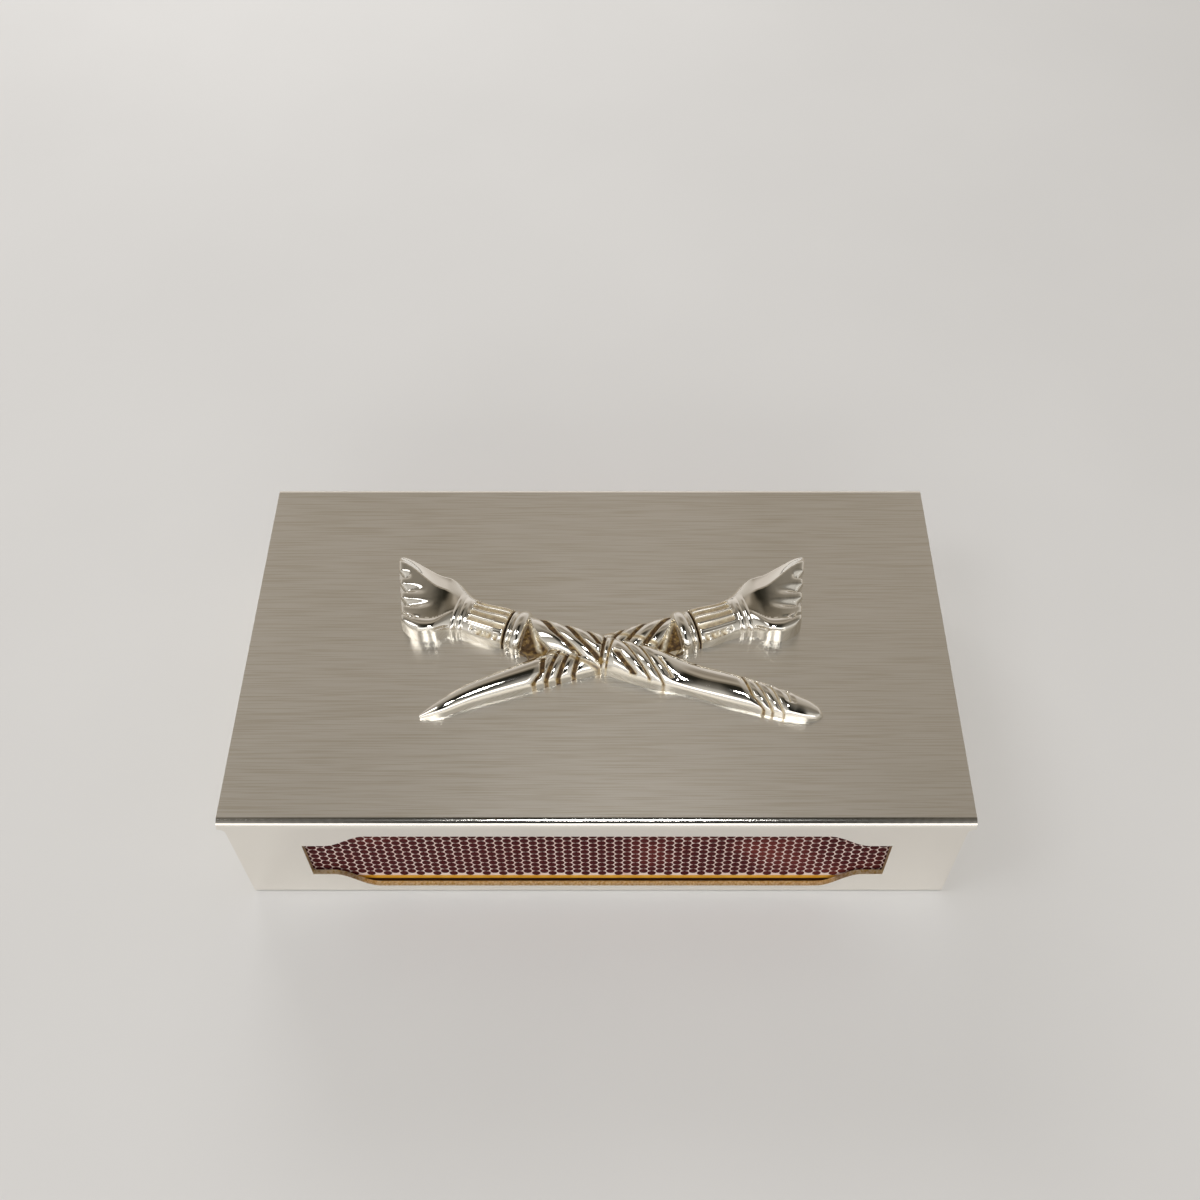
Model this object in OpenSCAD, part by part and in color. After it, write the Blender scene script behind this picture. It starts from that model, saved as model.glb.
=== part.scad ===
// Matchbox holder: a silver-plated sheet cover with an applied crossed-torch casting,
// and the household matchbox that slides inside it.
// X runs along the matchbox, -Y is the front with the window, +Z is up.
// The origin is the centre of the base, on the table.

/* [Matchbox] */
// Length of the card sleeve
box_l = 112; // [100:1:116]
// Depth of the card sleeve, front to back
box_w = 65.2; // [58:0.2:72]
// Height of the card sleeve
box_h = 22.4; // [20:0.2:28]
// Thickness of the card
card_t = 0.6; // [0.4:0.1:1]
// Outer radius of the card's folds
fold_r = 1.2; // [1:0.1:2]
// Running gap between the tray and the card sleeve, on every side
tray_gap = 0.35; // [0.3:0.05:0.6]
// Headroom between the tray's rim and the roof of the card sleeve
tray_headroom = 0.8; // [0.4:0.1:2]
// How far the tray stops short of each end of the card sleeve
tray_recess = 0.5; // [0:0.1:3]

/* [Striking strips] */
// Height of the printed striking strip
strip_h = 16; // [10:0.5:19]
// Thickness of the printed striking strip
strip_t = 0.2; // [0.1:0.05:0.3]
// Bare card left beyond each end of the strip
strip_margin = 1.5; // [0.5:0.5:8]

/* [Matches] */
// Side of the square match stick
stick_a = 2.2; // [1.8:0.1:2.3]
// Length of the wooden stick
stick_l = 52; // [44:1:56]
// Diameter of the match head
head_d = 3.6; // [3.5:0.1:4]
// Length of the match head
head_l = 5.2; // [4:0.2:6.5]
// How far the stick reaches into the head
head_grip = 3.4; // [2:0.2:3.6]
// Sideways pitch of the matches in a layer
match_pitch = 3.9; // [3.7:0.1:6]
// Layers of matches left in the tray
match_layers = 1; // [1:1:3]
// Gap between a match and what it lies on
match_rest = 0.05; // [0.02:0.01:0.2]
// Room left at each end of a row of matches
row_room = 0.5; // [0.2:0.1:3]
// Share of the tray's spare width that lies in front of the match heads
front_share = 0.5; // [0.1:0.05:0.9]

/* [Cover] */
// How far the cover runs past the matchbox, at each end
end_overhang = 2; // [0.5:0.5:8]
// Thickness of the brass sheet
sheet_t = 0.8; // [0.5:0.1:1.2]
// Outer radius of the bends
bend_r = 1.5; // [1.3:0.1:3]
// Gap between the cover and the matchbox, on every side
box_gap = 0.3; // [0.3:0.05:0.8]
// How much shorter the walls and base are than the top, at each end
wall_inset = 1.1; // [0.4:0.1:2]
// Depth of the soldered seam line under the base
seam_depth = 0.2; // [0.1:0.05:0.3]
// Width of the soldered seam line under the base
seam_w = 0.5; // [0.3:0.1:1]

/* [Window] */
// Metal left beside the window, from the end of the cover
window_margin = 11.9; // [6:0.1:20]
// Metal left under the window, from the table
window_sill = 2.9; // [2:0.1:5]
// Metal left over the window, from the top face
window_lintel = 3.8; // [2.5:0.1:6]
// How far the sill rises at the narrow ends
sill_step = 4.4; // [1:0.1:5]
// How far the lintel drops at the narrow ends
lintel_step = 3.3; // [1:0.1:5]
// Straight length of the narrow ends
end_run = 3.3; // [1:0.1:8]
// Length of each curved shoulder
shoulder_l = 7; // [3:0.5:12]

/* [Torches] */
// Overall width of the crossed torches
ornament_l = 70.8; // [60:0.2:84]
// Sideways place of the crossing on the top face
cross_x = 0.5; // [-2:0.1:2]
// Front to back place of the crossing on the top face
cross_y = -3.2; // [-5:0.1:2]
// Angle between each torch and the length of the cover
torch_angle = 18; // [14:1:22]
// Depth of the grooves that part the ribbon's turns
groove_d = 0.5; // [0.2:0.05:0.7]
// Depth of the flutes in the cuffs
flute_d = 0.4; // [0.1:0.05:0.6]
// Number of flutes over a cuff, between its ribs
flutes = 5; // [4:1:7]
// Depth of the valleys between the flame's lobes
lobe_d = 0.7; // [0.3:0.1:1.2]
// Depth of the notches between the lobes in the flame's outer edge
lobe_out = 0.8; // [0.2:0.05:1]
// How far the longest valley runs in from the flame's edge
lobe_reach = 6.6; // [3:0.2:9]
// Depth of the hollow in the flame's upper face, below its back rim
dish_d = 0.3; // [0:0.1:0.8]
// Height of the thin webs that tie the torches together
web_h = 1; // [0.6:0.1:2]

/* [Hidden] */

silver = "#d8d2c8";
polished = "#e6e0d6";
card = "#efe6d2";
striker = "#5c1f22";
tray_card = "#e9e4d8";
wood = "#e3c898";
composition = "#7a2a22";

// The cover is drawn round the matchbox
cover_l = box_l + 2 * end_overhang;
inner_d = box_w + 2 * strip_t + 2 * box_gap;
inner_h = box_h + 2 * box_gap;
cover_d = inner_d + 2 * sheet_t;
cover_h = inner_h + 2 * sheet_t;
box_z = sheet_t + box_gap;
strip_z = box_z + (box_h - strip_h) / 2;
strip_l = box_l - 2 * strip_margin;

// The tray runs inside the card sleeve
tray_l = box_l - 2 * tray_recess;
tray_w = box_w - 2 * card_t - 2 * tray_gap;
tray_z = box_z + card_t + tray_gap;
tray_h = box_h - 2 * card_t - tray_gap - tray_headroom;
tray_inner_w = tray_w - 2 * card_t;
tray_floor_z = tray_z + card_t;
end_t = 2 * card_t;

// Cutting tools run past the faces they cut
over = 1;
curve_fn = 48;
// Smallest radius inside a fold
least_r = 0.2;

module rounded_rect(w, h, r) {
    translate([-w / 2 + r, -h / 2]) square([w - 2 * r, h]);
    translate([-w / 2, -h / 2 + r]) square([w, h - 2 * r]);
    for (x = [-1, 1], y = [-1, 1])
        translate([x * (w / 2 - r), y * (h / 2 - r)]) circle(r = r, $fn = curve_fn);
}

// A tube along X, with its outline in the YZ plane and its base at height z
module tube_x(l, w, h, t, r, z) {
    translate([-l / 2, 0, z + h / 2]) rotate([90, 0, 90])
        linear_extrude(l) difference() {
            rounded_rect(w, h, r);
            rounded_rect(w - 2 * t, h - 2 * t, max(r - t, least_r));
        }
}

// Height of the shoulder's S-curve at a share t of its length
function ogee(t) = (1 - cos(180 * t)) / 2;

shoulder_steps = 10;
window_half = cover_l / 2 - window_margin;
shoulder_out = window_half - end_run;
window_top = cover_h - window_lintel;

// Right half of the window's upper or lower edge, from the end inwards
function edge_points(level, step) = [
    [window_half, level + step],
    for (i = [0:shoulder_steps])
        [shoulder_out - shoulder_l * i / shoulder_steps,
         level + step * (1 - ogee(i / shoulder_steps))]];

function reversed(list) = [for (i = [len(list) - 1:-1:0]) list[i]];
function mirrored(list) = [for (p = list) [-p[0], p[1]]];

module window_outline() {
    upper = edge_points(window_top, -lintel_step);
    lower = edge_points(window_sill, sill_step);
    polygon(concat(reversed(lower), upper, reversed(mirrored(upper)), mirrored(lower)));
}

// The trim that makes the walls and base shorter than the top, with a cove up to the top's bend
module end_trim() {
    trim_h = cover_h - bend_r;
    wall_end = cover_l / 2 - wall_inset;
    rotate([90, 0, 0]) translate([0, 0, -cover_d / 2 - over])
        linear_extrude(cover_d + 2 * over) difference() {
            translate([wall_end, -over]) square([wall_inset + over, trim_h + over]);
            difference() {
                translate([wall_end - over, trim_h - wall_inset])
                    square([wall_inset + over, wall_inset + over]);
                translate([cover_l / 2, trim_h - wall_inset]) circle(r = wall_inset, $fn = curve_fn);
            }
        }
}

module cover_shell() {
    color(silver) difference() {
        tube_x(cover_l, cover_d, cover_h, sheet_t, bend_r, 0);
        rotate([90, 0, 0]) translate([0, 0, -cover_d / 2 - over])
            linear_extrude(cover_d + 2 * over) window_outline();
        end_trim();
        mirror([1, 0, 0]) end_trim();
        translate([-cover_l / 2 - over, -seam_w / 2, -over])
            cube([cover_l + 2 * over, seam_w, over + seam_depth]);
    }
}

// The torches are drawn flat on the top face, head towards -X, and then crossed.
// Each table holds places along the torch and the size there.
flame_end = -35.65;
flame_slant = -0.456;
neck = -24.2;
ribbon_start = -13;
tail_end = 37.4;
front_edge = [[flame_end, 5.2], [-34.6, 5.9], [-32.4, 6.3], [-29.5, 5.8], [-27.4, 5.2], [-25.6, 3.9],
              [neck, 3.3], [-22.8, 3.3], [-16.4, 3.5], [-15.4, 3.3], [ribbon_start, 3.2],
              [0, 3.1], [11.4, 3.1], [12.6, 2.9], [23, 2.7], [33, 1.95], [35.6, 1.45],
              [36.8, 0.85], [tail_end, 0.3]];
back_edge = [[flame_end, 7], [-34, 7.1], [-31.2, 6.1], [-29.6, 5.5], [-27.4, 5.4], [-25.4, 4.8],
             [neck, 4.1], [-22.8, 3.6], [-16.4, 3.5], [-15.4, 3.3], [ribbon_start, 3.2],
             [0, 3.1], [11.4, 3.1], [12.6, 2.9], [23, 2.65], [33, 1.95], [35.6, 1.45],
             [36.8, 0.85], [tail_end, 0.3]];
crest = [[flame_end, 3.9], [-30, 4], [-26, 3.7], [neck, 3.5], [-22.8, 3.5], [-16.4, 3.6], [-15.4, 3.5],
         [ribbon_start, 3.6], [-12, 3.9], [0, 4.4], [11.4, 3.7], [12.6, 3.3], [23, 3.1], [33, 2.3],
         [35.6, 1.75], [36.8, 1.15], [tail_end, 0.5]];

// The lower torch ends sooner, in a bent and pointed tail, and dips where the other one crosses
low_tail_end = 31.2;
low_tail_front = [[8, 2.9], [16, 2.8], [23, 2.75], [28.4, 3.1], [low_tail_end, 2.6]];
low_tail_back = [[8, 2.4], [16, 1.6], [23, 0.7], [28.4, -0.9], [low_tail_end, -1.8]];
low_dip_start = -12;
low_dip = [[0, 3], [11, 3.3], [23, 2.6], [28.4, 1.8], [low_tail_end, 0.8]];
low_front_edge = [for (p = front_edge) if (p[0] <= 0) p, each low_tail_front];
low_back_edge = [for (p = back_edge) if (p[0] <= 0) p, each low_tail_back];
low_crest = [for (p = crest) if (p[0] <= low_dip_start) p, each low_dip];

// The flame rises from a rolled front edge, through a hollow, to a ridge, and falls to its back rim.
// The ridge's place is a share of the width, from front to back.
ridge_share = [[flame_end, 0.86], [-33, 0.82], [-30, 0.74], [-26, 0.67], [neck, 0.62]];
ridge_z = [[flame_end, 4.6], [-33, 4.6], [-30, 4.4], [-26, 4], [neck, 3.6]];
rim_z = 3.4;
roll_v = [[flame_end, -4.7], [-31, -5], [-28, -4.1], [-25.4, -2], [neck, -1.2]];
roll_half = 1.25;
roll_rise = 0.75;
hollow_share = 0.16;
hollow_bow = 1.25;
// The fan is complete from this place outwards, and blends into the round neck over this length
fan_start = -28.2;
fan_blend = 3.6;
roll_end = -26;
roll_fade = 1.7;
notch_reach = 2.5;
edge_r = 0.9;
rim_r = 0.4;

// Rings round the neck and the collar: place, half width, height
neck_rings = [[-25.1, 0.5, 0.35], [-24.1, 0.5, 0.35]];
// Share of the half turn where the neck's rings start to fade, and how soon they are gone
ring_fade = [0.5, 0.22];
collar_rings = [[-15.5, 0.36, 0.3], [-14.05, 1, 0.8]];
cuff_start = -22.9;
cuff_end = -16.4;
cuff_edge = 0.3;
gap_at = -16.15;
gap_half = 0.35;
gap_d = 0.9;
// The cuff's ribs and its sunk panel stand at shares of the half turn over it, from front to back
first_rib = 0.305;
last_rib = 0.91;
rib_gap = (last_rib - first_rib) / flutes;
// Half width of a rib or a valley, just under half a gap, so that the points beside it stay clear
rib_half = 0.45 * rib_gap;
// The valleys between the lobes stand at shares of the half turn, each with its share of the reach
valleys = [[0.215, 0.8], [first_rib + rib_gap / 2, 1], [first_rib + 1.5 * rib_gap, 0.8],
           [first_rib + 2.5 * rib_gap, 0.35]];
panel = [0.12, 0.24];
panel_d = 0.35;
panel_run = [-22, -17.2];

// The ribbon's grooves lean along the torch, by this much for each mm across it, and the
// sections lean with them; each torch has a table of the share of that lean along it
groove_lean = -1.3;
upper_lean = [[ribbon_start, 0], [-8.3, 1], [-3.9, 1], [0.9, 0.45], [4.8, 1], [9.5, 1], [14.5, 0],
              [21, 0], [25.3, 1], [30.2, 1], [35, 0]];
lower_lean = [[ribbon_start, 0], [-8.3, 1], [10, 1], [15, 0]];
// Each groove: its place, its half width along the torch, and the span across that it cuts
wide = 0.75;
medium = 0.6;
fine = 0.4;
all_v = [-9, 9];
front_v = [-9, 0.5];
back_v = [-0.8, 9];
upper_grooves = [[-8.3, wide, all_v], [-4.1, wide, all_v], [-1.3, medium, back_v], [0.3, fine, all_v],
                 [1.7, fine, all_v], [3.3, medium, front_v], [5.4, medium, all_v], [8, medium, all_v],
                 [10.4, fine, front_v], [25, medium, all_v], [27.4, medium, all_v], [29.7, fine, all_v]];
lower_grooves = [[-9.3, wide, all_v], [-4.7, wide, all_v], [-1, medium, all_v], [3.7, wide, all_v],
                 [5.9, wide, all_v], [8, medium, all_v], [10.1, medium, all_v]];
// The rough ground left bare between the collar and the first turn of the ribbon
ground_d = 0.8;
ground_v = 1.7;
ground_lean = 0.6;
ground_ramp = 1.1;
ground_start = 0.3;

// Height of the upright side walls, and the least height that any cut leaves
wall_h = 1;
wall_share = 0.4;
least_h = 0.35;
// Cuts fade out towards both feet of a section, at this rate
cut_rise = 1.6;
// Shares of the half turn at which every section has a point
turns = [0, 0.04, 0.1, 0.16, 0.215, 0.26,
         for (i = [0:2 * flutes]) first_rib + rib_gap * i / 2, 0.96, 1];
// Where each plain stretch of sections starts and ends, and their spacing there
stretches = [[flame_end, -35.05, 0.3], [-35.05, -25.6, 0.8], [-25.6, cuff_start, 0.25],
             [cuff_start, -22.3, cuff_edge], [-22.3, -16.6, 1.9], [-16.6, -15, 0.225],
             [-15, ribbon_start, 0.32], [ribbon_start, -9.9, 0.62], [12.4, 13.2, 0.4],
             [13.2, 24.2, 2.5], [30.3, 35.4, 1.2], [35.4, tail_end, 0.5]];
last_gap = 0.25;
least_gap = 0.5;
most_gap = 2.4;
// Sections stand on both lips and on the floor of each groove, and midway to the next one
function groove_places(grooves) = [
    for (k = [0:len(grooves) - 1])
        let (g = grooves[k], after = k + 1 < len(grooves) ? grooves[k + 1] : [g[0] + 3 * g[1], g[1]],
             gap = after[0] - after[1] - g[0] - g[1])
        each [g[0] - g[1], g[0] - g[1] / 2, g[0] + g[1] / 2, g[0] + g[1],
              if (gap > least_gap) g[0] + g[1] + min(gap, most_gap) / 2]];
function sorted(list) = len(list) < 2 ? list
    : let (pivot = list[floor(len(list) / 2)])
      concat(sorted([for (x = list) if (x < pivot) x]), [pivot], sorted([for (x = list) if (x > pivot) x]));
function section_places(grooves, tail) =
    let (plain = [for (k = stretches) for (s = [k[0]:k[2]:k[1] - k[2] / 2]) if (s < tail - last_gap) s])
    sorted(concat(plain, groove_places(grooves), [tail - last_gap, tail]));

function clamped(x, low, high) = min(max(x, low), high);
function eased(t) = let (k = clamped(t, 0, 1)) k * k * (3 - 2 * k);
function segment(table, s, i = 0) =
    i >= len(table) - 2 || s < table[i + 1][0] ? i : segment(table, s, i + 1);

// Smooth curve through the rows of a table, at the place s
function along(table, s) =
    let (i = segment(table, s), a = table[max(i - 1, 0)], b = table[i], c = table[i + 1],
         d = table[min(i + 2, len(table) - 1)], gap = c[0] - b[0],
         t = clamped((s - b[0]) / gap, 0, 1),
         m0 = (c[1] - a[1]) / (c[0] - a[0]) * gap, m1 = (d[1] - b[1]) / (d[0] - b[0]) * gap)
    b[1] * (2 * t * t * t - 3 * t * t + 1) + m0 * (t * t * t - 2 * t * t + t)
    + c[1] * (3 * t * t - 2 * t * t * t) + m1 * (t * t * t - t * t);

// A smooth bump and a round one, each of height 1 and the given half width
function bump(x, half) = abs(x) >= half ? 0 : (1 + cos(180 * x / half)) / 2;
function dome(x, half) = abs(x) >= half ? 0 : sqrt(1 - x * x / (half * half));
// Drop of a face that rounds over within the given radius of its rim
function rounding(x, r) = let (k = 1 - clamped(x / r, 0, 1)) r * (1 - sqrt(1 - k * k));

// Share of the flame in a section: 0 at the neck, 1 all over the fan
function flame(s) = 1 - eased((s - fan_start) / fan_blend);
function slant(s) = flame_slant * eased((neck - s) / (neck - flame_end));
function highest_ring(rings, s) = max([for (r = rings) r[2] * dome(s - r[0], r[1])]);
// The neck's rings fade out under the flame's back flank
function ring(s, t) = max(highest_ring(neck_rings, s) * (1 - eased((t - ring_fade[0]) / ring_fade[1])),
                          highest_ring(collar_rings, s));

function valley(t, s, reach) = max([for (w = valleys)
    (1 - clamped(abs(t - w[0]) / rib_half, 0, 1)) * (1 - eased((s - flame_end) / (reach * w[1])))]);

// Height of the flame's upper face at the share q of its width
function flame_face(s, v, t, q, width) =
    let (ridge = along(ridge_share, s), top = along(ridge_z, s), low = min(rim_z - dish_d, top),
         climb = clamped((q - hollow_share) / (ridge - hollow_share), 0, 1),
         roll = roll_rise * dome(v - along(roll_v, s), roll_half) * (1 - eased((s - roll_end) / roll_fade)),
         fall = (q - ridge) / (1 - ridge))
    (q < ridge ? low + (top - low) * pow(climb, hollow_bow) : top - (top - rim_z) * fall)
    + roll - lobe_d * valley(t, s, lobe_reach)
    - rounding(q * width, rim_r) - rounding((1 - q) * width, rim_r) - rounding(s - flame_end, edge_r);

// Depth of the cuff's flutes and panel and of the gap beside the collar
function cuff(s) = eased((s - cuff_start) / cuff_edge) * (1 - eased((s - cuff_end) / cuff_edge + 1));
function rib(t) = max([for (i = [0:flutes])
    1 - clamped(abs(t - first_rib - i * rib_gap) / rib_half, 0, 1)]);
function cuff_cut(s, t) = cuff(s) * (t > first_rib - rib_half ? flute_d * (1 - rib(t)) : 0)
    + (t > panel[0] && t < panel[1] && s > panel_run[0] && s < panel_run[1] ? panel_d : 0)
    + gap_d * bump(s - gap_at, gap_half);

// Depth of the ribbon's grooves, each with a flat floor half as wide as its mouth
function groove_cut(grooves, s, v) = groove_d * max([for (g = grooves)
    v < g[2][0] || v > g[2][1] ? 0 : clamped(2 - 2 * abs(s - g[0]) / g[1], 0, 1)]);
function ground_cut(s, v) = s < ribbon_start ? 0
    : ground_d * clamped((ribbon_start + (ground_v - v) * ground_lean - s) / ground_ramp, 0, 1)
      * clamped((s - ribbon_start) / ground_start, 0, 1);

function face_point(s, t, f, b, h, lean, grooves) =
    let (r = ring(s, t), q = (1 - cos(180 * t)) / 2, width = f + b + 2 * r, v = width * q - f - r,
         fl = flame(s), foot = min(wall_h, h * wall_share), round = foot + (h + r - foot) * sin(180 * t),
         face = fl == 0 ? round : fl * flame_face(s, v, t, q, width) + (1 - fl) * round,
         ribbon_cut = max(groove_cut(grooves, s, v), ground_cut(s, v)),
         cut = (cuff_cut(s, t) + ribbon_cut) * min(cut_rise * sin(180 * t), 1),
         skew = slant(s) + groove_lean * lookup(s, lean))
    [s + skew * v + lobe_out * valley(t, s, notch_reach), v, max(face - cut, least_h)];

// One section of the torch: up the front wall, over the face and down the back wall
function section(s, front, back, top, lean, grooves) =
    let (f = along(front, s), b = along(back, s), h = along(top, s),
         face = [for (t = turns) face_point(s, t, f, b, h, lean, grooves)],
         first = face[0], last = face[len(face) - 1])
    [[first[0], first[1], 0], each face, [last[0], last[1], 0]];

// One torch as a closed relief: sections from foot to foot, a flat sole and upright end walls
module torch(front, back, top, lean, grooves, tail) {
    places = section_places(grooves, tail);
    n = len(places);
    m = len(turns) + 2;
    rows = [for (s = places) section(s, front, back, top, lean, grooves)];
    // Under the flame's outer edge, the face's inner points are dropped to the sole
    dropped = [for (j = [2:m - 3]) [rows[0][j][0], rows[0][j][1], 0]];
    function below(j) = j == 1 ? 0 : j == m - 2 ? m - 1 : n * m + j - 2;
    faces = [for (i = [0:n - 2], j = [0:m - 2]) let (a = i * m + j)
             each [[a, a + 1, a + m + 1], [a, a + m + 1, a + m]]];
    head_wall = [for (j = [1:m - 3]) each [[j, below(j), below(j + 1)], [j, below(j + 1), j + 1]]];
    tail_wall = [[for (j = [0:m - 1]) (n - 1) * m + j]];
    sole = [concat([for (i = [0:n - 1]) i * m], [for (i = [n - 1:-1:0]) i * m + m - 1],
                   [for (j = [m - 3:-1:2]) below(j)])];
    polyhedron([for (r = rows, p = r) p, each dropped], concat(faces, head_wall, tail_wall, sole),
               convexity = 8);
}

// A thin web in the acute angle between the torches, in front of the left-hand cuff
web_outline = [[0, 0.5], [-9, 1.2], [-14.9, 2.4], [-14.9, 1.3], [-13.5, 0.5], [-12.4, -0.1],
               [-11.8, -0.9], [-11.6, -1.9], [-11.2, -3.4], [0, -1.5]];
module web() {
    linear_extrude(web_h) polygon(web_outline);
}

module crossed_torches() {
    color(polished) translate([cross_x, cross_y, cover_h])
        resize([ornament_l, 0, 0], auto = true) union() {
            rotate([0, 0, -torch_angle])
                torch(front_edge, back_edge, crest, upper_lean, upper_grooves, tail_end);
            mirror([1, 0, 0]) rotate([0, 0, -torch_angle])
                torch(low_front_edge, low_back_edge, low_crest, lower_lean, lower_grooves, low_tail_end);
            web();
            mirror([1, 0, 0]) web();
        }
}

module box_sleeve() {
    color(card) tube_x(box_l, box_w, box_h, card_t, fold_r, box_z);
}

module striking_strip() {
    translate([-strip_l / 2, -box_w / 2 - strip_t, strip_z]) cube([strip_l, strip_t, strip_h]);
}

module striker_front() {
    color(striker) striking_strip();
}

module striker_back() {
    color(striker) mirror([0, 1, 0]) striking_strip();
}

module match_tray() {
    color(tray_card) difference() {
        translate([-tray_l / 2, 0, tray_z]) rotate([90, 0, 90])
            linear_extrude(tray_l) difference() {
                translate([0, (tray_h + card_t) / 2]) rounded_rect(tray_w, tray_h + card_t, card_t);
                translate([-tray_w / 2 - over, tray_h]) square([tray_w + 2 * over, card_t + over]);
            }
        translate([-tray_l / 2 + end_t, -tray_inner_w / 2, tray_floor_z])
            cube([tray_l - 2 * end_t, tray_inner_w, tray_h + over]);
    }
}

// Matches lie across the tray with their heads to the front, each layer nested in the last
matches_in_row = floor((tray_l - 2 * end_t - head_d - 2 * row_room) / match_pitch);
layer_rise = sqrt(head_d * head_d - match_pitch * match_pitch / 4) + match_rest;
match_l = stick_l + head_l - head_grip;
head_tip_y = -tray_inner_w / 2 + front_share * (tray_inner_w - match_l);

module each_match() {
    for (layer = [0:match_layers - 1])
        for (i = [0:matches_in_row - (layer % 2)])
            translate([(i - (matches_in_row - layer % 2) / 2) * match_pitch, 0,
                       tray_floor_z + head_d / 2 + match_rest + layer * layer_rise])
                children();
}

module one_stick() {
    translate([-stick_a / 2, head_tip_y + head_l - head_grip, -stick_a / 2])
        cube([stick_a, stick_l, stick_a]);
}

// Bulb of composition round the end of the stick, as shares of its radius and length
head_shares = [[0, 0], [0.75, 0.1], [1, 0.42], [0.92, 1]];
socket_r = stick_a / sqrt(2);

module one_head() {
    outside = [for (p = head_shares) [p[0] * head_d / 2, p[1] * head_l]];
    socket = [[socket_r, head_l], [socket_r, head_l - head_grip], [0, head_l - head_grip]];
    translate([0, head_tip_y, 0]) rotate([-90, 0, 0])
        rotate_extrude($fn = 32) polygon(concat(outside, socket));
}

module match_sticks() {
    color(wood) each_match() one_stick();
}

module match_heads() {
    color(composition) each_match() one_head();
}

cover_shell();
crossed_torches();
box_sleeve();
striker_front();
striker_back();
match_tray();
match_sticks();
match_heads();
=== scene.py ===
# %% [markdown]
# # A silver-plated matchbox holder
# A matchbox holder is a short tube of brass sheet, bent round a household matchbox, soldered
# under the base and silver plated. A window in each long wall bares the striking strip, and a
# cast ornament, here a pair of crossed torches, is soldered to the top. This lesson dresses the
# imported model: first the camera and light, then each piece with its mesh and its finish.

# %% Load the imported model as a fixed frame
import math

import bmesh
import bpy
import numpy as np
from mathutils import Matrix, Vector, noise


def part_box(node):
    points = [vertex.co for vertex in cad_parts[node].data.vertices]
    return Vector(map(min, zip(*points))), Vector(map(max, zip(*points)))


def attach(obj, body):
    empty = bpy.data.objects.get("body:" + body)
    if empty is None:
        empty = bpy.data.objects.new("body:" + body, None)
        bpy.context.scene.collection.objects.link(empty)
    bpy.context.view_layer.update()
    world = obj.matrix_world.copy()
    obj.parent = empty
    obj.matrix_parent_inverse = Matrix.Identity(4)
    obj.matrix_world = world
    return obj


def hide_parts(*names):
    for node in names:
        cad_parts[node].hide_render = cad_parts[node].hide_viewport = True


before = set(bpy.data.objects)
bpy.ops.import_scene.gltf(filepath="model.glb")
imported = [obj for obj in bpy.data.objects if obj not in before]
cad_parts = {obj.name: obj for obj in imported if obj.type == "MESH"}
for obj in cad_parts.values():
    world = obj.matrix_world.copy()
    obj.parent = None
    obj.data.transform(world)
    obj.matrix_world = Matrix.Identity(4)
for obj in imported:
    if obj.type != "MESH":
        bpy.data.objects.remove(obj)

scene = bpy.context.scene
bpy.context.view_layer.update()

# %% [markdown]
# Sizes below are in millimetres, as a silversmith would write them, and one factor turns them
# into the metres that the scene is built in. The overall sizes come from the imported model, so
# that every piece made here fits its CAD node.

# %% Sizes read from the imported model
MM = 0.001


def node_box(name):
    low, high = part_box(name)
    return np.array(low) / MM, np.array(high) / MM


cover_low, cover_high = node_box("cover_shell")
cover_l, cover_d, cover_h = cover_high - cover_low
sleeve_low, sleeve_high = node_box("box_sleeve")
sleeve_l, sleeve_d, sleeve_h = sleeve_high - sleeve_low
tray_low, tray_high = node_box("match_tray")
print("cover, mm:", cover_l.round(2), cover_d.round(2), cover_h.round(2))

# %% [markdown]
# Three helpers are used by every finish. Colours are written as sRGB hex values, the way a colour
# picker shows them, and turned into the linear values that a render engine works with. A second
# helper turns the real size of a pattern into the scale that a texture node wants. The third adds
# one shader node with its settings and what feeds it, and fills in its colours if it is a ramp.

# %% Colour, scale and node helpers


def linear(hex_colour):
    """An sRGB hex value as linear red, green, blue and a full alpha."""
    parts = [int(hex_colour[i:i + 2], 16) / 255 for i in (1, 3, 5)]
    return [p / 12.92 if p <= 0.04045 else ((p + 0.055) / 1.055) ** 2.4 for p in parts] + [1.0]


def every(size_mm):
    """Texture scale of a pattern that changes about once in so many millimetres."""
    return 1 / (size_mm * MM)


def add(tree, kind, inputs=None, stops=None, **settings):
    """A new node. Inputs are values or sockets to link, and stops are a ramp's hex colours."""
    node = tree.nodes.new(kind)
    for name, value in settings.items():
        setattr(node, name, value)
    for name, value in (inputs or {}).items():
        if isinstance(value, bpy.types.NodeSocket):
            tree.links.new(value, node.inputs[name])
        else:
            node.inputs[name].default_value = value
    if stops:
        elements = node.color_ramp.elements
        while len(elements) < len(stops):
            elements.new(0.5)
        for element, (place, colour) in zip(elements, stops):
            element.position = place
            element.color = linear(colour)
    return node


def new_finish(name):
    """A new material, with the four things that every finish starts from."""
    material = bpy.data.materials.new(name)
    material.use_nodes = True
    tree = material.node_tree
    place = add(tree, "ShaderNodeTexCoord").outputs["Object"]
    return material, tree, tree.nodes["Principled BSDF"], place


print("middle grey #808080 is", round(linear("#808080")[0], 3), "in linear light")

# %% [markdown]
# ## Camera
# The photograph looks down on the holder from in front, close by. Its angle was worked out from
# the cover's own corners: the lens looks down by 53.7 degrees from the horizon. The small
# sideways shift keeps the vertical edges where the photograph has them.

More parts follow.
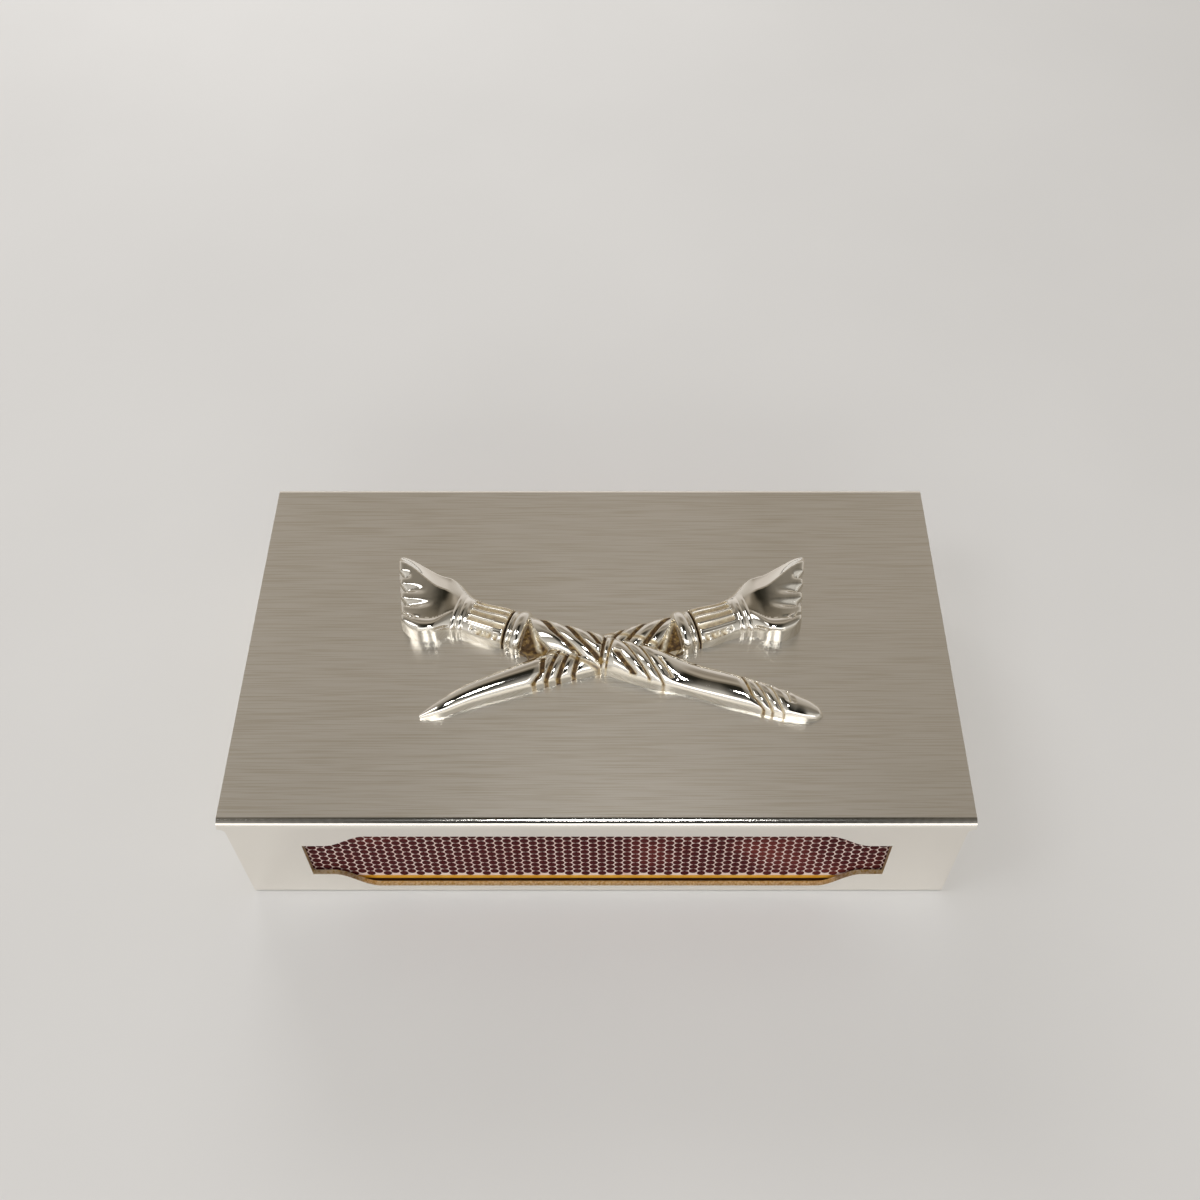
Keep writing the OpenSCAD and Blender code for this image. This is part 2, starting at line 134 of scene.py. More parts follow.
# %% Camera
LOOK_DOWN = 53.705
camera = bpy.data.objects.new("camera", bpy.data.cameras.new("camera"))
scene.collection.objects.link(camera)
camera.data.sensor_width = 36.0
camera.data.lens = 40.39
camera.data.shift_x = -0.0153
camera.location = (0.00333, -0.12729, 0.20952)
camera.rotation_euler = (math.radians(90 - LOOK_DOWN), 0, 0)
camera.data.clip_start = 0.01
scene.camera = camera
scene.view_settings.view_transform = "Standard"
print("camera is", round(camera.location.length, 3), "m from the foot of the holder")

# %% [markdown]
# ## Light
# Polished silver has almost no look of its own: it shows the room. In the photograph the table
# and the wall behind are pale, the ceiling is dim, and daylight comes in low from the front and
# the sides. The room is a smooth world of two ramps, one up and over through the middle and one
# at the sides, which take over from each other by how far a direction points sideways.

# %% World: a pale room with a dim ceiling
world = bpy.data.worlds.new("room")
scene.world = world
world.use_nodes = True
room = world.node_tree
room.nodes.clear()
direction = add(room, "ShaderNodeSeparateXYZ",
                {"Vector": add(room, "ShaderNodeTexCoord").outputs["Generated"]})
# The turn is 0 at the back horizon, 0.5 overhead and 1 at the front horizon
over_top = add(room, "ShaderNodeMath", {0: direction.outputs["Z"], 1: direction.outputs["Y"]},
               operation="ARCTAN2")
turn = add(room, "ShaderNodeMath", {0: over_top.outputs[0], 1: math.pi}, operation="DIVIDE")
MIDDLE = [(0.0, "#e4dfda"), (0.12, "#cfc8c1"), (0.19, "#958d82"), (0.26, "#898073"),
          (0.34, "#a59c8f"), (0.40, "#6c6457"), (0.44, "#25231c"), (0.60, "#17160f"),
          (0.80, "#1a1a16"), (0.85, "#d0cdc8"), (1.0, "#f4f2ee")]
SIDES = [(0.0, "#d4cfc9"), (0.25, "#b0a99f"), (0.45, "#7b756b"), (0.60, "#827e77"),
         (0.75, "#bdbab4"), (1.0, "#e0ddd8")]
middle = add(room, "ShaderNodeValToRGB", {"Fac": turn.outputs[0]}, MIDDLE)
middle.color_ramp.interpolation = "EASE"
sides = add(room, "ShaderNodeValToRGB", {"Fac": turn.outputs[0]}, SIDES)
sides.color_ramp.interpolation = "EASE"
sideways = add(room, "ShaderNodeMath", {0: direction.outputs["X"]}, operation="ABSOLUTE")
spread = add(room, "ShaderNodeMapRange",
             {"Value": sideways.outputs[0], "From Min": 0.1, "From Max": 0.44},
             interpolation_type="SMOOTHSTEP")
mixed = add(room, "ShaderNodeMix", {"Factor": spread.outputs[0], "A": middle.outputs["Color"],
                                    "B": sides.outputs["Color"]}, data_type="RGBA")
background = add(room, "ShaderNodeBackground", {"Color": mixed.outputs["Result"], "Strength": 1.0})
add(room, "ShaderNodeOutputWorld", {"Surface": background.outputs[0]})
print("world has", len(room.nodes), "nodes")

# %% [markdown]
# A wide soft lamp low in front is the window, and one high in front is the sky over it. Silver
# would show the high one as a large burnt patch, so half of its light stays out of reflections,
# and the other half, a smaller lamp beside it, puts the glint on every round edge. A lamp at the
# left evens the shadow, and one at the back lights the table as the pale wall does.

# %% Lamps: two high in front, a wide one low in front, one at the left and one at the back


def soft_lamp(name, place, size, watts, mirrored=True):
    """A white soft box that looks at the holder, and that metal shows only if mirrored."""
    lamp = bpy.data.lights.new(name, "AREA")
    lamp.shape = "RECTANGLE"
    lamp.size, lamp.size_y = size
    lamp.energy = watts
    lamp.color = linear("#ffffff")[:3]
    obj = bpy.data.objects.new(name, lamp)
    obj.location = place
    obj.rotation_euler = (-Vector(place)).to_track_quat("-Z", "Y").to_euler()
    obj.visible_glossy = mirrored
    scene.collection.objects.link(obj)


soft_lamp("key_in_front", (0.0, -0.36, 1.02), (0.2, 0.2), 2.4, mirrored=False)
soft_lamp("glint_in_front", (0.0, -0.355, 1.0), (0.14, 0.18), 2.4)
soft_lamp("window_low_in_front", (0.0, -1.85, 0.82), (2.6, 0.66), 5.6)
soft_lamp("side_left", (-0.66, -0.2, 1.0), (0.4, 0.4), 1.3)
soft_lamp("back_wall", (-0.15, 0.5, 0.26), (0.4, 0.2), 1.0, mirrored=False)

# %% [markdown]
# The holder stands on a plain pale table with a matte paint, which gives no reflection, only
# soft shadows and tones that drift a little. It is one big sheet, wide enough that its edge never
# shows.

# %% Floor
FLOOR_REACH = 6.0


def floor_material():
    material, tree, shader, place = new_finish("matte_table_paint")
    # Soft unevenness of the paint, in patches about 80 mm across
    patches = add(tree, "ShaderNodeTexNoise", {"Vector": place, "Scale": every(83.333), "Detail": 3.0})
    tint = add(tree, "ShaderNodeValToRGB", {"Fac": patches.outputs["Fac"]},
               [(0.3, "#d8d7d6"), (0.7, "#dcdbda")])
    tree.links.new(tint.outputs["Color"], shader.inputs["Base Color"])
    shader.inputs["Roughness"].default_value = 0.7
    shader.inputs["Specular IOR Level"].default_value = 0.2
    return material


floor_mesh = bpy.data.meshes.new("table")
r = FLOOR_REACH
floor_mesh.from_pydata([(-r, -r, 0), (r, -r, 0), (r, r, 0), (-r, r, 0)], [], [(0, 1, 2, 3)])
floor_mesh.materials.append(floor_material())
floor = bpy.data.objects.new("table", floor_mesh)
scene.collection.objects.link(floor)
print("floor is", 2 * FLOOR_REACH, "m across")

# %% [markdown]
# ## Building meshes
# Every piece is made from points and faces worked out in code. One helper turns a list of points
# in millimetres into an object, and one cuts shapes out of it with exact booleans, as a saw or a
# file would. Edges are then rounded by about a tenth of a millimetre, because a real edge is
# never perfectly sharp, and that thin round is what catches the light.

# %% Mesh helpers
SAME_POINT = 1e-7
SAME_PLANE = 0.4


def new_piece(name, points, faces, *materials):
    """An object from points in millimetres, with its materials in order."""
    mesh = bpy.data.meshes.new(name)
    mesh.from_pydata((np.asarray(points, float) * MM).tolist(), [], [list(f) for f in faces])
    for material in materials:
        mesh.materials.append(material)
    obj = bpy.data.objects.new(name, mesh)
    scene.collection.objects.link(obj)
    return obj


def apply_modifiers(obj):
    bpy.context.view_layer.update()
    evaluated = obj.evaluated_get(bpy.context.evaluated_depsgraph_get())
    mesh = bpy.data.meshes.new_from_object(evaluated)
    obj.modifiers.clear()
    obj.data = mesh


def boolean(obj, other, operation):
    """Joins the other solid to this one or cuts it out, and throws the other one away."""
    step = obj.modifiers.new("cut", "BOOLEAN")
    step.operation = operation
    step.solver = "MANIFOLD"
    step.object = other
    apply_modifiers(obj)
    bpy.data.objects.remove(other)


def smooth_faces(obj, crease_degrees):
    obj.data.shade_smooth()
    obj.data.set_sharp_from_angle(angle=math.radians(crease_degrees))


def rounded_edges(obj, radius, segments=3, least_degrees=30):
    """Rounds every edge that is sharper than the least angle, and evens the shading."""
    step = obj.modifiers.new("rounded edges", "BEVEL")
    step.width = radius * MM
    step.segments = segments
    step.limit_method = "ANGLE"
    step.angle_limit = math.radians(least_degrees)
    step.harden_normals = False
    smooth_faces(obj, 40)
    even = obj.modifiers.new("even shading", "WEIGHTED_NORMAL")
    even.keep_sharp = True
    apply_modifiers(obj)


def clean_faces(obj):
    """Joins the coplanar triangles that the cuts leave into whole faces."""
    mesh = bmesh.new()
    mesh.from_mesh(obj.data)
    bmesh.ops.remove_doubles(mesh, verts=mesh.verts, dist=SAME_POINT)
    bmesh.ops.dissolve_limit(mesh, angle_limit=math.radians(SAME_PLANE), verts=mesh.verts,
                             edges=mesh.edges, delimit={"MATERIAL"})
    mesh.to_mesh(obj.data)
    mesh.free()


def face_outward(obj):
    mesh = bmesh.new()
    mesh.from_mesh(obj.data)
    bmesh.ops.recalc_face_normals(mesh, faces=mesh.faces)
    mesh.to_mesh(obj.data)
    mesh.free()


print("mesh helpers ready")

# %% [markdown]
# Most of the cutting tools, and the tubes too, are prisms: an outline in two directions, run
# along the third.

# %% Outlines and prisms


def rounded_outline(width, height, radius, steps=14):
    """Corners of a rounded rectangle about the origin, counterclockwise."""
    points = []
    for corner, (y, z) in enumerate([(1, 1), (-1, 1), (-1, -1), (1, -1)]):
        for k in range(steps + 1):
            angle = math.radians(90 * corner + 90 * k / steps)
            points.append((y * (width / 2 - radius) + radius * math.cos(angle),
                           z * (height / 2 - radius) + radius * math.sin(angle)))
    return points


def rectangle(half, low, high):
    """Corners of a plain rectangle, counterclockwise."""
    return [(-half, low), (half, low), (half, high), (-half, high)]


def shifted(outline, up):
    return [(y, z + up) for y, z in outline]


def shell_faces(n):
    """Faces of a closed prism of n sides, whose points are the low ring, then the high one."""
    around = [[i, (i + 1) % n, n + (i + 1) % n, n + i] for i in range(n)]
    return around + [list(range(n))[::-1], list(range(n, 2 * n))]


def prism(name, outline, low, high, axis, *materials):
    """A closed solid: an outline in the other two axes, run from low to high along the axis."""
    place = {"x": lambda p, w: (w, p[0], p[1]), "y": lambda p, w: (p[0], w, p[1])}[axis]
    points = [place(p, w) for w in (low, high) for p in outline]
    obj = new_piece(name, points, shell_faces(len(outline)), *materials)
    face_outward(obj)
    return obj


print("a rounded corner is drawn in", len(rounded_outline(2, 2, 1)) // 4, "points")

# %% [markdown]
# ## Silver plate finishes
# The cover is brass sheet with a bright silver plate. Its top was rubbed along its length with a
# fine abrasive, which spreads reflections into a soft, slightly streaked satin, while the bends
# and walls kept a near mirror. Silver is a metal, so its colour is all in the reflection. The
# rubbing is a noise that is stretched along the length. Real lines are about 0.05 mm wide, and
# they are drawn 0.16 and 0.3 mm wide here, so that they show in a picture of this size. Marks of
# the polishing cloth run in loose arcs round the ornament.

# %% Rubbed silver plate
LINE_W, LINE_L = 0.3, 22
FINE_W, FINE_L = 0.16, 12
# The arcs are 1.65 mm apart. A ring wave turns 10 / pi times over one unit of its vector
ARC_GAP = 1.6535
ARC_SCALE = math.pi / 10 * every(ARC_GAP)


def streaks(tree, place, line_mm, length_mm):
    """Noise in lines of this width and length, along X."""
    stretched = add(tree, "ShaderNodeMapping", {
        "Vector": place, "Scale": (every(length_mm), every(line_mm), every(line_mm))})
    lines = add(tree, "ShaderNodeTexNoise", {"Vector": stretched.outputs[0], "Scale": 1.0,
                                             "Detail": 2.0})
    return lines.outputs["Fac"]


def cloth_arcs(tree, place):
    """Loose rings round the ornament, pushed about by noise in swells 40 mm across."""
    wander = add(tree, "ShaderNodeTexNoise", {"Vector": place, "Scale": every(40), "Detail": 1.0})
    push = (20 * MM, 20 * MM, 0.0)
    loose = add(tree, "ShaderNodeVectorMath", {0: wander.outputs["Color"], 1: push},
                operation="MULTIPLY")
    moved = add(tree, "ShaderNodeVectorMath", {0: place, 1: loose.outputs[0]}, operation="ADD")
    arcs = add(tree, "ShaderNodeTexWave", {"Vector": moved.outputs[0], "Scale": ARC_SCALE,
                                           "Distortion": 3.0, "Detail": 2.0},
               wave_type="RINGS", rings_direction="Z")
    return arcs.outputs["Fac"]


def rubbed_silver():
    material, tree, shader, place = new_finish("silver_plate_rubbed")
    lines = streaks(tree, place, LINE_W, LINE_L)
    fine = streaks(tree, place, FINE_W, FINE_L)
    # Only the flat top was rubbed to a satin: the bends and the walls kept their polish
    facing = add(tree, "ShaderNodeSeparateXYZ",
                 {"Vector": add(tree, "ShaderNodeTexCoord").outputs["Normal"]})
    satin = add(tree, "ShaderNodeMapRange",
                {"Value": facing.outputs["Z"], "From Min": 0.985, "From Max": 0.9999}).outputs[0]
    # The plate's tone drifts in clouds 22 mm across, and the satin's lines are darker threads
    cloudy = add(tree, "ShaderNodeTexNoise", {"Vector": place, "Scale": every(22.222), "Detail": 3.0})
    base = add(tree, "ShaderNodeValToRGB", {"Fac": cloudy.outputs["Fac"]},
               [(0.3, "#f5f1e9"), (0.7, "#f9f5ee")])
    thread = add(tree, "ShaderNodeValToRGB", {"Fac": fine}, [(0.36, "#efece6"), (0.54, "#ffffff")])
    threaded = add(tree, "ShaderNodeMix", {"Factor": satin, "A": base.outputs["Color"],
                                           "B": thread.outputs["Color"]},
                   data_type="RGBA", blend_type="MULTIPLY")
    tree.links.new(threaded.outputs["Result"], shader.inputs["Base Color"])
    shader.inputs["Metallic"].default_value = 1.0
    rubbed = add(tree, "ShaderNodeMapRange", {"Value": lines, "To Min": 0.27, "To Max": 0.34})
    polished = add(tree, "ShaderNodeMapRange", {"Value": lines, "To Min": 0.1, "To Max": 0.14})
    gloss = add(tree, "ShaderNodeMix", {"Factor": satin, "A": polished.outputs[0],
                                        "B": rubbed.outputs[0]})
    tree.links.new(gloss.outputs["Result"], shader.inputs["Roughness"])
    # Rubbing lines spread a reflection across themselves, so the satin is anisotropic
    across = add(tree, "ShaderNodeMath", {0: satin, 1: 0.75}, operation="MULTIPLY")
    tree.links.new(across.outputs[0], shader.inputs["Anisotropic"])
    tangent = add(tree, "ShaderNodeTangent", direction_type="RADIAL", axis="X")
    tree.links.new(tangent.outputs[0], shader.inputs["Tangent"])
    height = add(tree, "ShaderNodeMath", {0: lines, 1: fine}, operation="ADD")
    bite = add(tree, "ShaderNodeMapRange", {"Value": satin, "To Min": 0.02, "To Max": 0.26})
    lined = add(tree, "ShaderNodeBump", {"Height": height.outputs[0], "Strength": bite.outputs[0],
                                         "Distance": 0.02 * MM})
    wiped = add(tree, "ShaderNodeBump", {"Height": cloth_arcs(tree, place), "Strength": 0.1,
                                         "Distance": 0.02 * MM, "Normal": lined.outputs[0]})
    tree.links.new(wiped.outputs[0], shader.inputs["Normal"])
    return material


silver_rubbed = rubbed_silver()
print("finish:", silver_rubbed.name, "with", len(silver_rubbed.node_tree.nodes), "nodes")

# %% [markdown]
# The cut edges of the sheet were sawn and filed. The plate is thin there, so the brass under it
# warms the colour, and the marks of the file, about 0.4 mm apart, make it duller than the faces.

# %% Filed brass edge


def cut_brass():
    material, tree, shader, place = new_finish("filed_edge_brass")
    worn = add(tree, "ShaderNodeTexNoise", {"Vector": place, "Scale": every(0.41667), "Detail": 3.0})
    base = add(tree, "ShaderNodeValToRGB", {"Fac": worn.outputs["Fac"]},
               [(0.35, "#d4b979"), (0.6, "#f0e3c2")])
    tree.links.new(base.outputs["Color"], shader.inputs["Base Color"])
    shader.inputs["Metallic"].default_value = 1.0
    shader.inputs["Roughness"].default_value = 0.45
    rough = add(tree, "ShaderNodeBump", {"Height": worn.outputs["Fac"], "Strength": 0.3,
                                         "Distance": 0.02 * MM})
    tree.links.new(rough.outputs[0], shader.inputs["Normal"])
    return material


brass_cut = cut_brass()
print("finish:", brass_cut.name)

# %% [markdown]
# ## The cover
# The cover is one strip of sheet, bent to a tube. It is drawn as an outer block with rounded
# bends and the inner space cut out of it. The windows are cut through both walls in one go, as
# on the real one, where both are sawn to the same pattern. At each end the walls and the base
# stop short of the top, with a small cove up to the overhang.

# %% The bent tube
SHEET_T = 0.8
BEND_R = 1.5
# How far cutting tools run past what they cut
PAST = 1.0
outer = shifted(rounded_outline(cover_d, cover_h, BEND_R), cover_h / 2)
inner = shifted(rounded_outline(cover_d - 2 * SHEET_T, cover_h - 2 * SHEET_T, BEND_R - SHEET_T),
                cover_h / 2)
cover = prism("cover", outer, -cover_l / 2, cover_l / 2, "x", silver_rubbed, brass_cut)
boolean(cover, prism("inside", inner, -cover_l / 2 - PAST, cover_l / 2 + PAST, "x"), "DIFFERENCE")
print("tube faces:", len(cover.data.polygons))

# %% [markdown]
# A window's sill and lintel step towards its narrow ends in S-curves, as they were sawn along a
# scribed line. The pattern is drawn for its right half and mirrored, and one cutter goes through
# both walls.

# %% The window pattern
WINDOW_MARGIN = 11.9
SILL = 2.9
LINTEL = 3.8
SILL_STEP = 4.4
LINTEL_STEP = 3.3
END_RUN = 3.3
SHOULDER_L = 7.0
SHOULDER_STEPS = 16


def window_edge(level, step):
    """Right half of the sill or the lintel, from the narrow end inwards: an S-curve shoulder."""
    half = cover_l / 2 - WINDOW_MARGIN
    points = [(half, level + step)]
    for i in range(SHOULDER_STEPS + 1):
        share = i / SHOULDER_STEPS
        rise = (1 + math.cos(math.pi * share)) / 2
        points.append((half - END_RUN - SHOULDER_L * share, level + step * rise))
    return points


lower = window_edge(SILL, SILL_STEP)
upper = window_edge(cover_h - LINTEL, -LINTEL_STEP)
right_half = lower[::-1] + upper
window = right_half + [(-x, z) for x, z in right_half[::-1]]
boolean(cover, prism("window", window, -cover_d, cover_d, "y"), "DIFFERENCE")
print("window is", round(2 * (cover_l / 2 - WINDOW_MARGIN), 1), "mm long")

# %% [markdown]
# At each end the walls and the base are filed back, with a cove under the top, so that the top
# runs slightly past them. Under the base the two edges of the strip meet in a butt seam, which
# shows as a shallow line of solder.

# %% End trim and seam
WALL_INSET = 1.1
COVE_STEPS = 10
SEAM_W = 0.5
SEAM_DEPTH = 0.2


def end_trim(side):
    """What is filed off one end: walls and base up to a cove under the top."""
    wall_end = cover_l / 2 - WALL_INSET
    top = cover_h - BEND_R
    outline = [(wall_end, -PAST), (cover_l / 2 + PAST, -PAST), (cover_l / 2 + PAST, top),
               (cover_l / 2, top)]
    for k in range(1, COVE_STEPS + 1):
        angle = math.radians(90 + 90 * k / COVE_STEPS)
        outline.append((cover_l / 2 + WALL_INSET * math.cos(angle),
                        top - WALL_INSET + WALL_INSET * math.sin(angle)))
    return [(side * x, z) for x, z in outline]


for side in (-1, 1):
    boolean(cover, prism("trim", end_trim(side), -cover_d, cover_d, "y"), "DIFFERENCE")
seam = rectangle(SEAM_W / 2, -PAST, SEAM_DEPTH)
boolean(cover, prism("seam", seam, -cover_l, cover_l, "x"), "DIFFERENCE")
clean_faces(cover)
print("walls end", WALL_INSET, "mm short of the top")

# %% [markdown]
# The faces that the saw and file left, at both ends and round the windows, get the brass finish.
# Then every edge is rounded.

# %% Brass edges and rounding
EDGE_R = 0.12
FACE_GAP = 0.01
END_GAP = 0.05
WINDOW_GAP = 0.1


def is_cut_face(face):
    """True at the ends and in the windows, where the thickness of the sheet shows."""
    x, y, z = np.array(face.center) / MM
    on_end = abs(x) > cover_l / 2 - WALL_INSET - END_GAP and abs(face.normal.x) > 0.5
    in_sheet = cover_d / 2 - SHEET_T + FACE_GAP < abs(y) < cover_d / 2 - FACE_GAP
    at_window = SILL - WINDOW_GAP < z < cover_h - LINTEL + WINDOW_GAP
    return on_end or (in_sheet and at_window)


for face in cover.data.polygons:
    if is_cut_face(face):
        face.material_index = 1
rounded_edges(cover, EDGE_R)
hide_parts("cover_shell")
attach(cover, "cover")
print("cover faces:", len(cover.data.polygons))

# %% [markdown]
# ## The crossed torches
# The ornament is a lost-wax casting, silver plated and polished, with a brown-gold patina left
# in its hollows. It is soldered flat on the top. Each torch is drawn as a relief: stations
# follow its length, and at each station a section runs from the front foot over the top to the
# back foot. Tables hold the widths and heights at the places where the form changes, and smooth
# curves join them.

# %% Tables of the torch, in mm along it from the crossing
HEAD_END = -35.65
HEAD_SLANT = -0.456
NECK = -24.2
RIBBON_START = -13.0
TAIL_END = 37.4
LOW_TAIL_END = 31.2
FRONT = [(HEAD_END, 5.2), (-34.6, 5.9), (-32.4, 6.3), (-29.5, 5.8), (-27.4, 5.2), (-25.6, 3.9),
         (NECK, 3.3), (-22.8, 3.3), (-16.4, 3.5), (-15.4, 3.3), (RIBBON_START, 3.2), (0, 3.1),
         (11.4, 3.1), (12.6, 2.9), (23, 2.7), (33, 1.95), (35.6, 1.45), (36.8, 0.85),
         (TAIL_END, 0.2)]
BACK = [(HEAD_END, 7.0), (-34.0, 7.1), (-31.2, 6.1), (-29.6, 5.5), (-27.4, 5.4), (-25.4, 4.8),
        (NECK, 4.1), (-22.8, 3.6), (-16.4, 3.5), (-15.4, 3.3), (RIBBON_START, 3.2), (0, 3.1),
        (11.4, 3.1), (12.6, 2.9), (23, 2.65), (33, 1.95), (35.6, 1.45), (36.8, 0.85),
        (TAIL_END, 0.2)]
CREST = [(HEAD_END, 3.9), (-30, 4.0), (-26, 3.7), (NECK, 3.5), (-22.8, 3.5), (-16.4, 3.6),
         (-15.4, 3.5), (RIBBON_START, 3.6), (-12, 3.9), (0, 4.4), (11.4, 3.7), (12.6, 3.3),
         (23, 3.1), (33, 2.3), (35.6, 1.75), (36.8, 1.15), (TAIL_END, 0.4)]
# The lower torch ends sooner, in a bent and pointed tail, and dips under the other one
LOW_FRONT = [row for row in FRONT if row[0] <= 0]
LOW_FRONT += [(8, 2.9), (16, 2.8), (23, 2.75), (28.4, 3.05), (LOW_TAIL_END, 2.55)]
LOW_BACK = [row for row in BACK if row[0] <= 0]
LOW_BACK += [(8, 2.4), (16, 1.6), (23, 0.7), (28.4, -0.9), (LOW_TAIL_END, -1.85)]
LOW_CREST = [row for row in CREST if row[0] <= -12]
LOW_CREST += [(0, 3.0), (11, 3.3), (23, 2.6), (28.4, 1.8), (LOW_TAIL_END, 0.7)]


def through(table, place):
    """A smooth curve through the rows of a table, at each place."""
    xs = np.array([row[0] for row in table])
    ys = np.array([row[1] for row in table])
    slopes = np.gradient(ys, xs)
    i = np.clip(np.searchsorted(xs, place, side="right") - 1, 0, len(xs) - 2)
    gap = xs[i + 1] - xs[i]
    t = np.clip((place - xs[i]) / gap, 0, 1)
    return (ys[i] * (2 * t**3 - 3 * t**2 + 1) + slopes[i] * gap * (t**3 - 2 * t**2 + t)
            + ys[i + 1] * (3 * t**2 - 2 * t**3) + slopes[i + 1] * gap * (t**3 - t**2))


def eased(value, start, end):
    t = np.clip((value - start) / (end - start), 0, 1)
    return t * t * (3 - 2 * t)


def dome(distance, half):
    """1 in the middle, falling as half a circle to 0 at the half width."""
    return np.sqrt(np.clip(1 - (distance / half) ** 2, 0, 1))


def hill(distance, half):
    """1 in the middle, falling smoothly to 0 at the half width."""
    t = np.clip(np.abs(distance) / half, 0, 1)
    return 1 - t * t * (3 - 2 * t)


print("torch is", TAIL_END - HEAD_END, "mm long")


# %% [markdown]
# The ribbon round the shaft is cut by slanting grooves. Each is a line across the torch, given
# by where it starts at the back and ends at the front, with its half width. Wide grooves keep
# the gold patina on a flat floor, and narrow ones are single chisel cuts.

# %% Grooves of the ribbon: (along, across) points from back to front, half width, depth
UPPER_GROOVES = [
    ([(-12.6, 3.4), (-11.6, 2.9), (-8.1, -0.15), (-4.7, -1.7), (-2.6, -2.8)], 0.42, 0.45),
    ([(-8.2, 3.2), (-7.1, 2.4), (-3.6, -0.2), (-1.1, -1.45), (0.6, -2.4)], 0.42, 0.45),
    ([(-4.2, 3.1), (-3.2, 2.35), (-0.3, 0.0)], 0.36, 0.4),
    ([(-0.3, 3.1), (0.3, 1.1), (0.8, -2.9)], 0.3, 0.45),
    ([(1.3, 3.1), (1.5, 2.0), (1.8, -2.9)], 0.2, 0.35),
    ([(2.95, -0.7), (4.6, -1.8), (6.4, -2.8)], 0.36, 0.4),
    ([(2.0, 2.9), (3.2, 1.8), (6.2, -0.7), (9.2, -2.9)], 0.2, 0.35),
    ([(4.9, 2.8), (6.3, 1.5), (9.0, -0.9), (11.6, -2.9)], 0.2, 0.35),
    ([(9.9, 0.4), (12.5, -1.6)], 0.2, 0.3),
    ([(23.2, 2.3), (24.07, 1.24), (25.8, -1.0), (28.2, -2.4)], 0.22, 0.35),
    ([(25.8, 1.6), (26.7, 0.7), (28.35, -1.05), (29.7, -2.4)], 0.2, 0.3),
    ([(28.2, 1.6), (29.15, 0.6), (30.3, -0.9), (31.6, -2.3)], 0.17, 0.28),
    ([(31.0, 1.4), (31.9, 0.0)], 0.14, 0.2),
]
LOWER_GROOVES = [
    ([(-14.0, 3.4), (-13.25, 2.93), (-9.6, 0.2), (-7.05, -1.66), (-5.2, -2.9)], 0.42, 0.45),
    ([(-9.0, 3.0), (-7.95, 2.07), (-4.55, -0.13), (-2.4, -1.6)], 0.42, 0.45),
    ([(-5.0, 3.0), (-3.2, 1.6), (-0.3, 0.0)], 0.36, 0.4),
    ([(2.2, 2.0), (3.6, 0.2), (5.6, -2.8)], 0.36, 0.45),
    ([(4.6, 1.6), (6.2, -0.3), (8.2, -2.8)], 0.36, 0.45),
    ([(7.0, 1.4), (8.4, -0.4), (10.2, -2.7)], 0.34, 0.45),
    ([(9.6, 0.9), (10.5, -1.5), (12.3, -2.6)], 0.34, 0.5),
]
# Over what length a groove runs out at the front and at the back
RUN_OUT = (0.5, 0.4)
# Shares of the half width where the flat floor ends and where the side has come up
FLOOR_END, SIDE_END = 0.6, 1.25
PILLOW_REACH = 0.9


def groove_depths(grooves, u, v):
    """How deep all grooves cut at each point, and a pillow-like fall of the ribbon beside them."""
    depth = np.zeros_like(u)
    sag = np.zeros_like(u)
    for line, half, deep in grooves:
        points = sorted((across, along) for along, across in line)
        across = np.array([p[0] for p in points])
        along = np.array([p[1] for p in points])
        slope = (along[-1] - along[0]) / (across[-1] - across[0])
        distance = (u - np.interp(v, across, along)) / math.hypot(1, slope)
        ends = (eased(v, across[0] - RUN_OUT[0], across[0])
                * (1 - eased(v, across[-1], across[-1] + RUN_OUT[1])))
        flat_floor = 1 - eased(np.abs(distance), half * FLOOR_END, half * SIDE_END)
        depth = np.maximum(depth, deep * flat_floor * ends)
        sag = np.maximum(sag, hill(distance, half + PILLOW_REACH) * ends)
    return depth, sag


print("grooves:", len(UPPER_GROOVES), "upper,", len(LOWER_GROOVES), "lower")

# %% [markdown]
# The flame is a fan that rises from a rolled front edge, through a wide hollow, to a ridge near
# its back edge. Four valleys run in from its outer edge, between rounded tongues. Each stands at
# a share of the half turn over the flame, from the front foot to the back foot.

# %% Height of the flame
# Valleys: share of the half turn, and reach inwards in mm
VALLEYS = [(0.215, 4.6), (0.365, 6.4), (0.487, 5.0), (0.608, 2.4)]
VALLEY_HALF = 0.042
VALLEY_DRIFT = 0.018
VALLEY_DEPTH = 0.62
# A valley is at its full depth over this share of its reach
VALLEY_FULL = 0.25
NOTCH_OUT = 0.8
NOTCH_REACH = 2.4
ROLL = [(HEAD_END, -4.7), (-31, -5.0), (-28, -4.1), (-25.4, -2.0), (NECK, -1.2)]
ROLL_H = 0.75
ROLL_HALF = 1.25
ROLL_FADE = (-26, -24.3)
RIDGE_SHARE = [(HEAD_END, 0.86), (-33, 0.82), (-30, 0.74), (-26, 0.67), (NECK, 0.62)]
RIDGE_Z = [(HEAD_END, 4.58), (-33, 4.58), (-30, 4.4), (-26, 4.0), (NECK, 3.6)]
RIM_Z = 3.4
# How far the fall behind the ridge bows out
FALL_BOW = 0.2
HOLLOW_Z = 3.1
HOLLOW_SHARE = 0.16
HOLLOW_BOW = 1.25


def valley_share(turn_share, start, reach_limit=math.inf):
    """How far a point lies in a valley: 1 on its floor at the flame's edge, 0 outside."""
    most = np.zeros_like(start)
    for place, reach in VALLEYS:
        end = min(reach, reach_limit)
        fade = 1 - eased(start, VALLEY_FULL * end, end)
        line = place + VALLEY_DRIFT * start
        most = np.maximum(most, hill(turn_share - line, VALLEY_HALF) * fade)
    return most


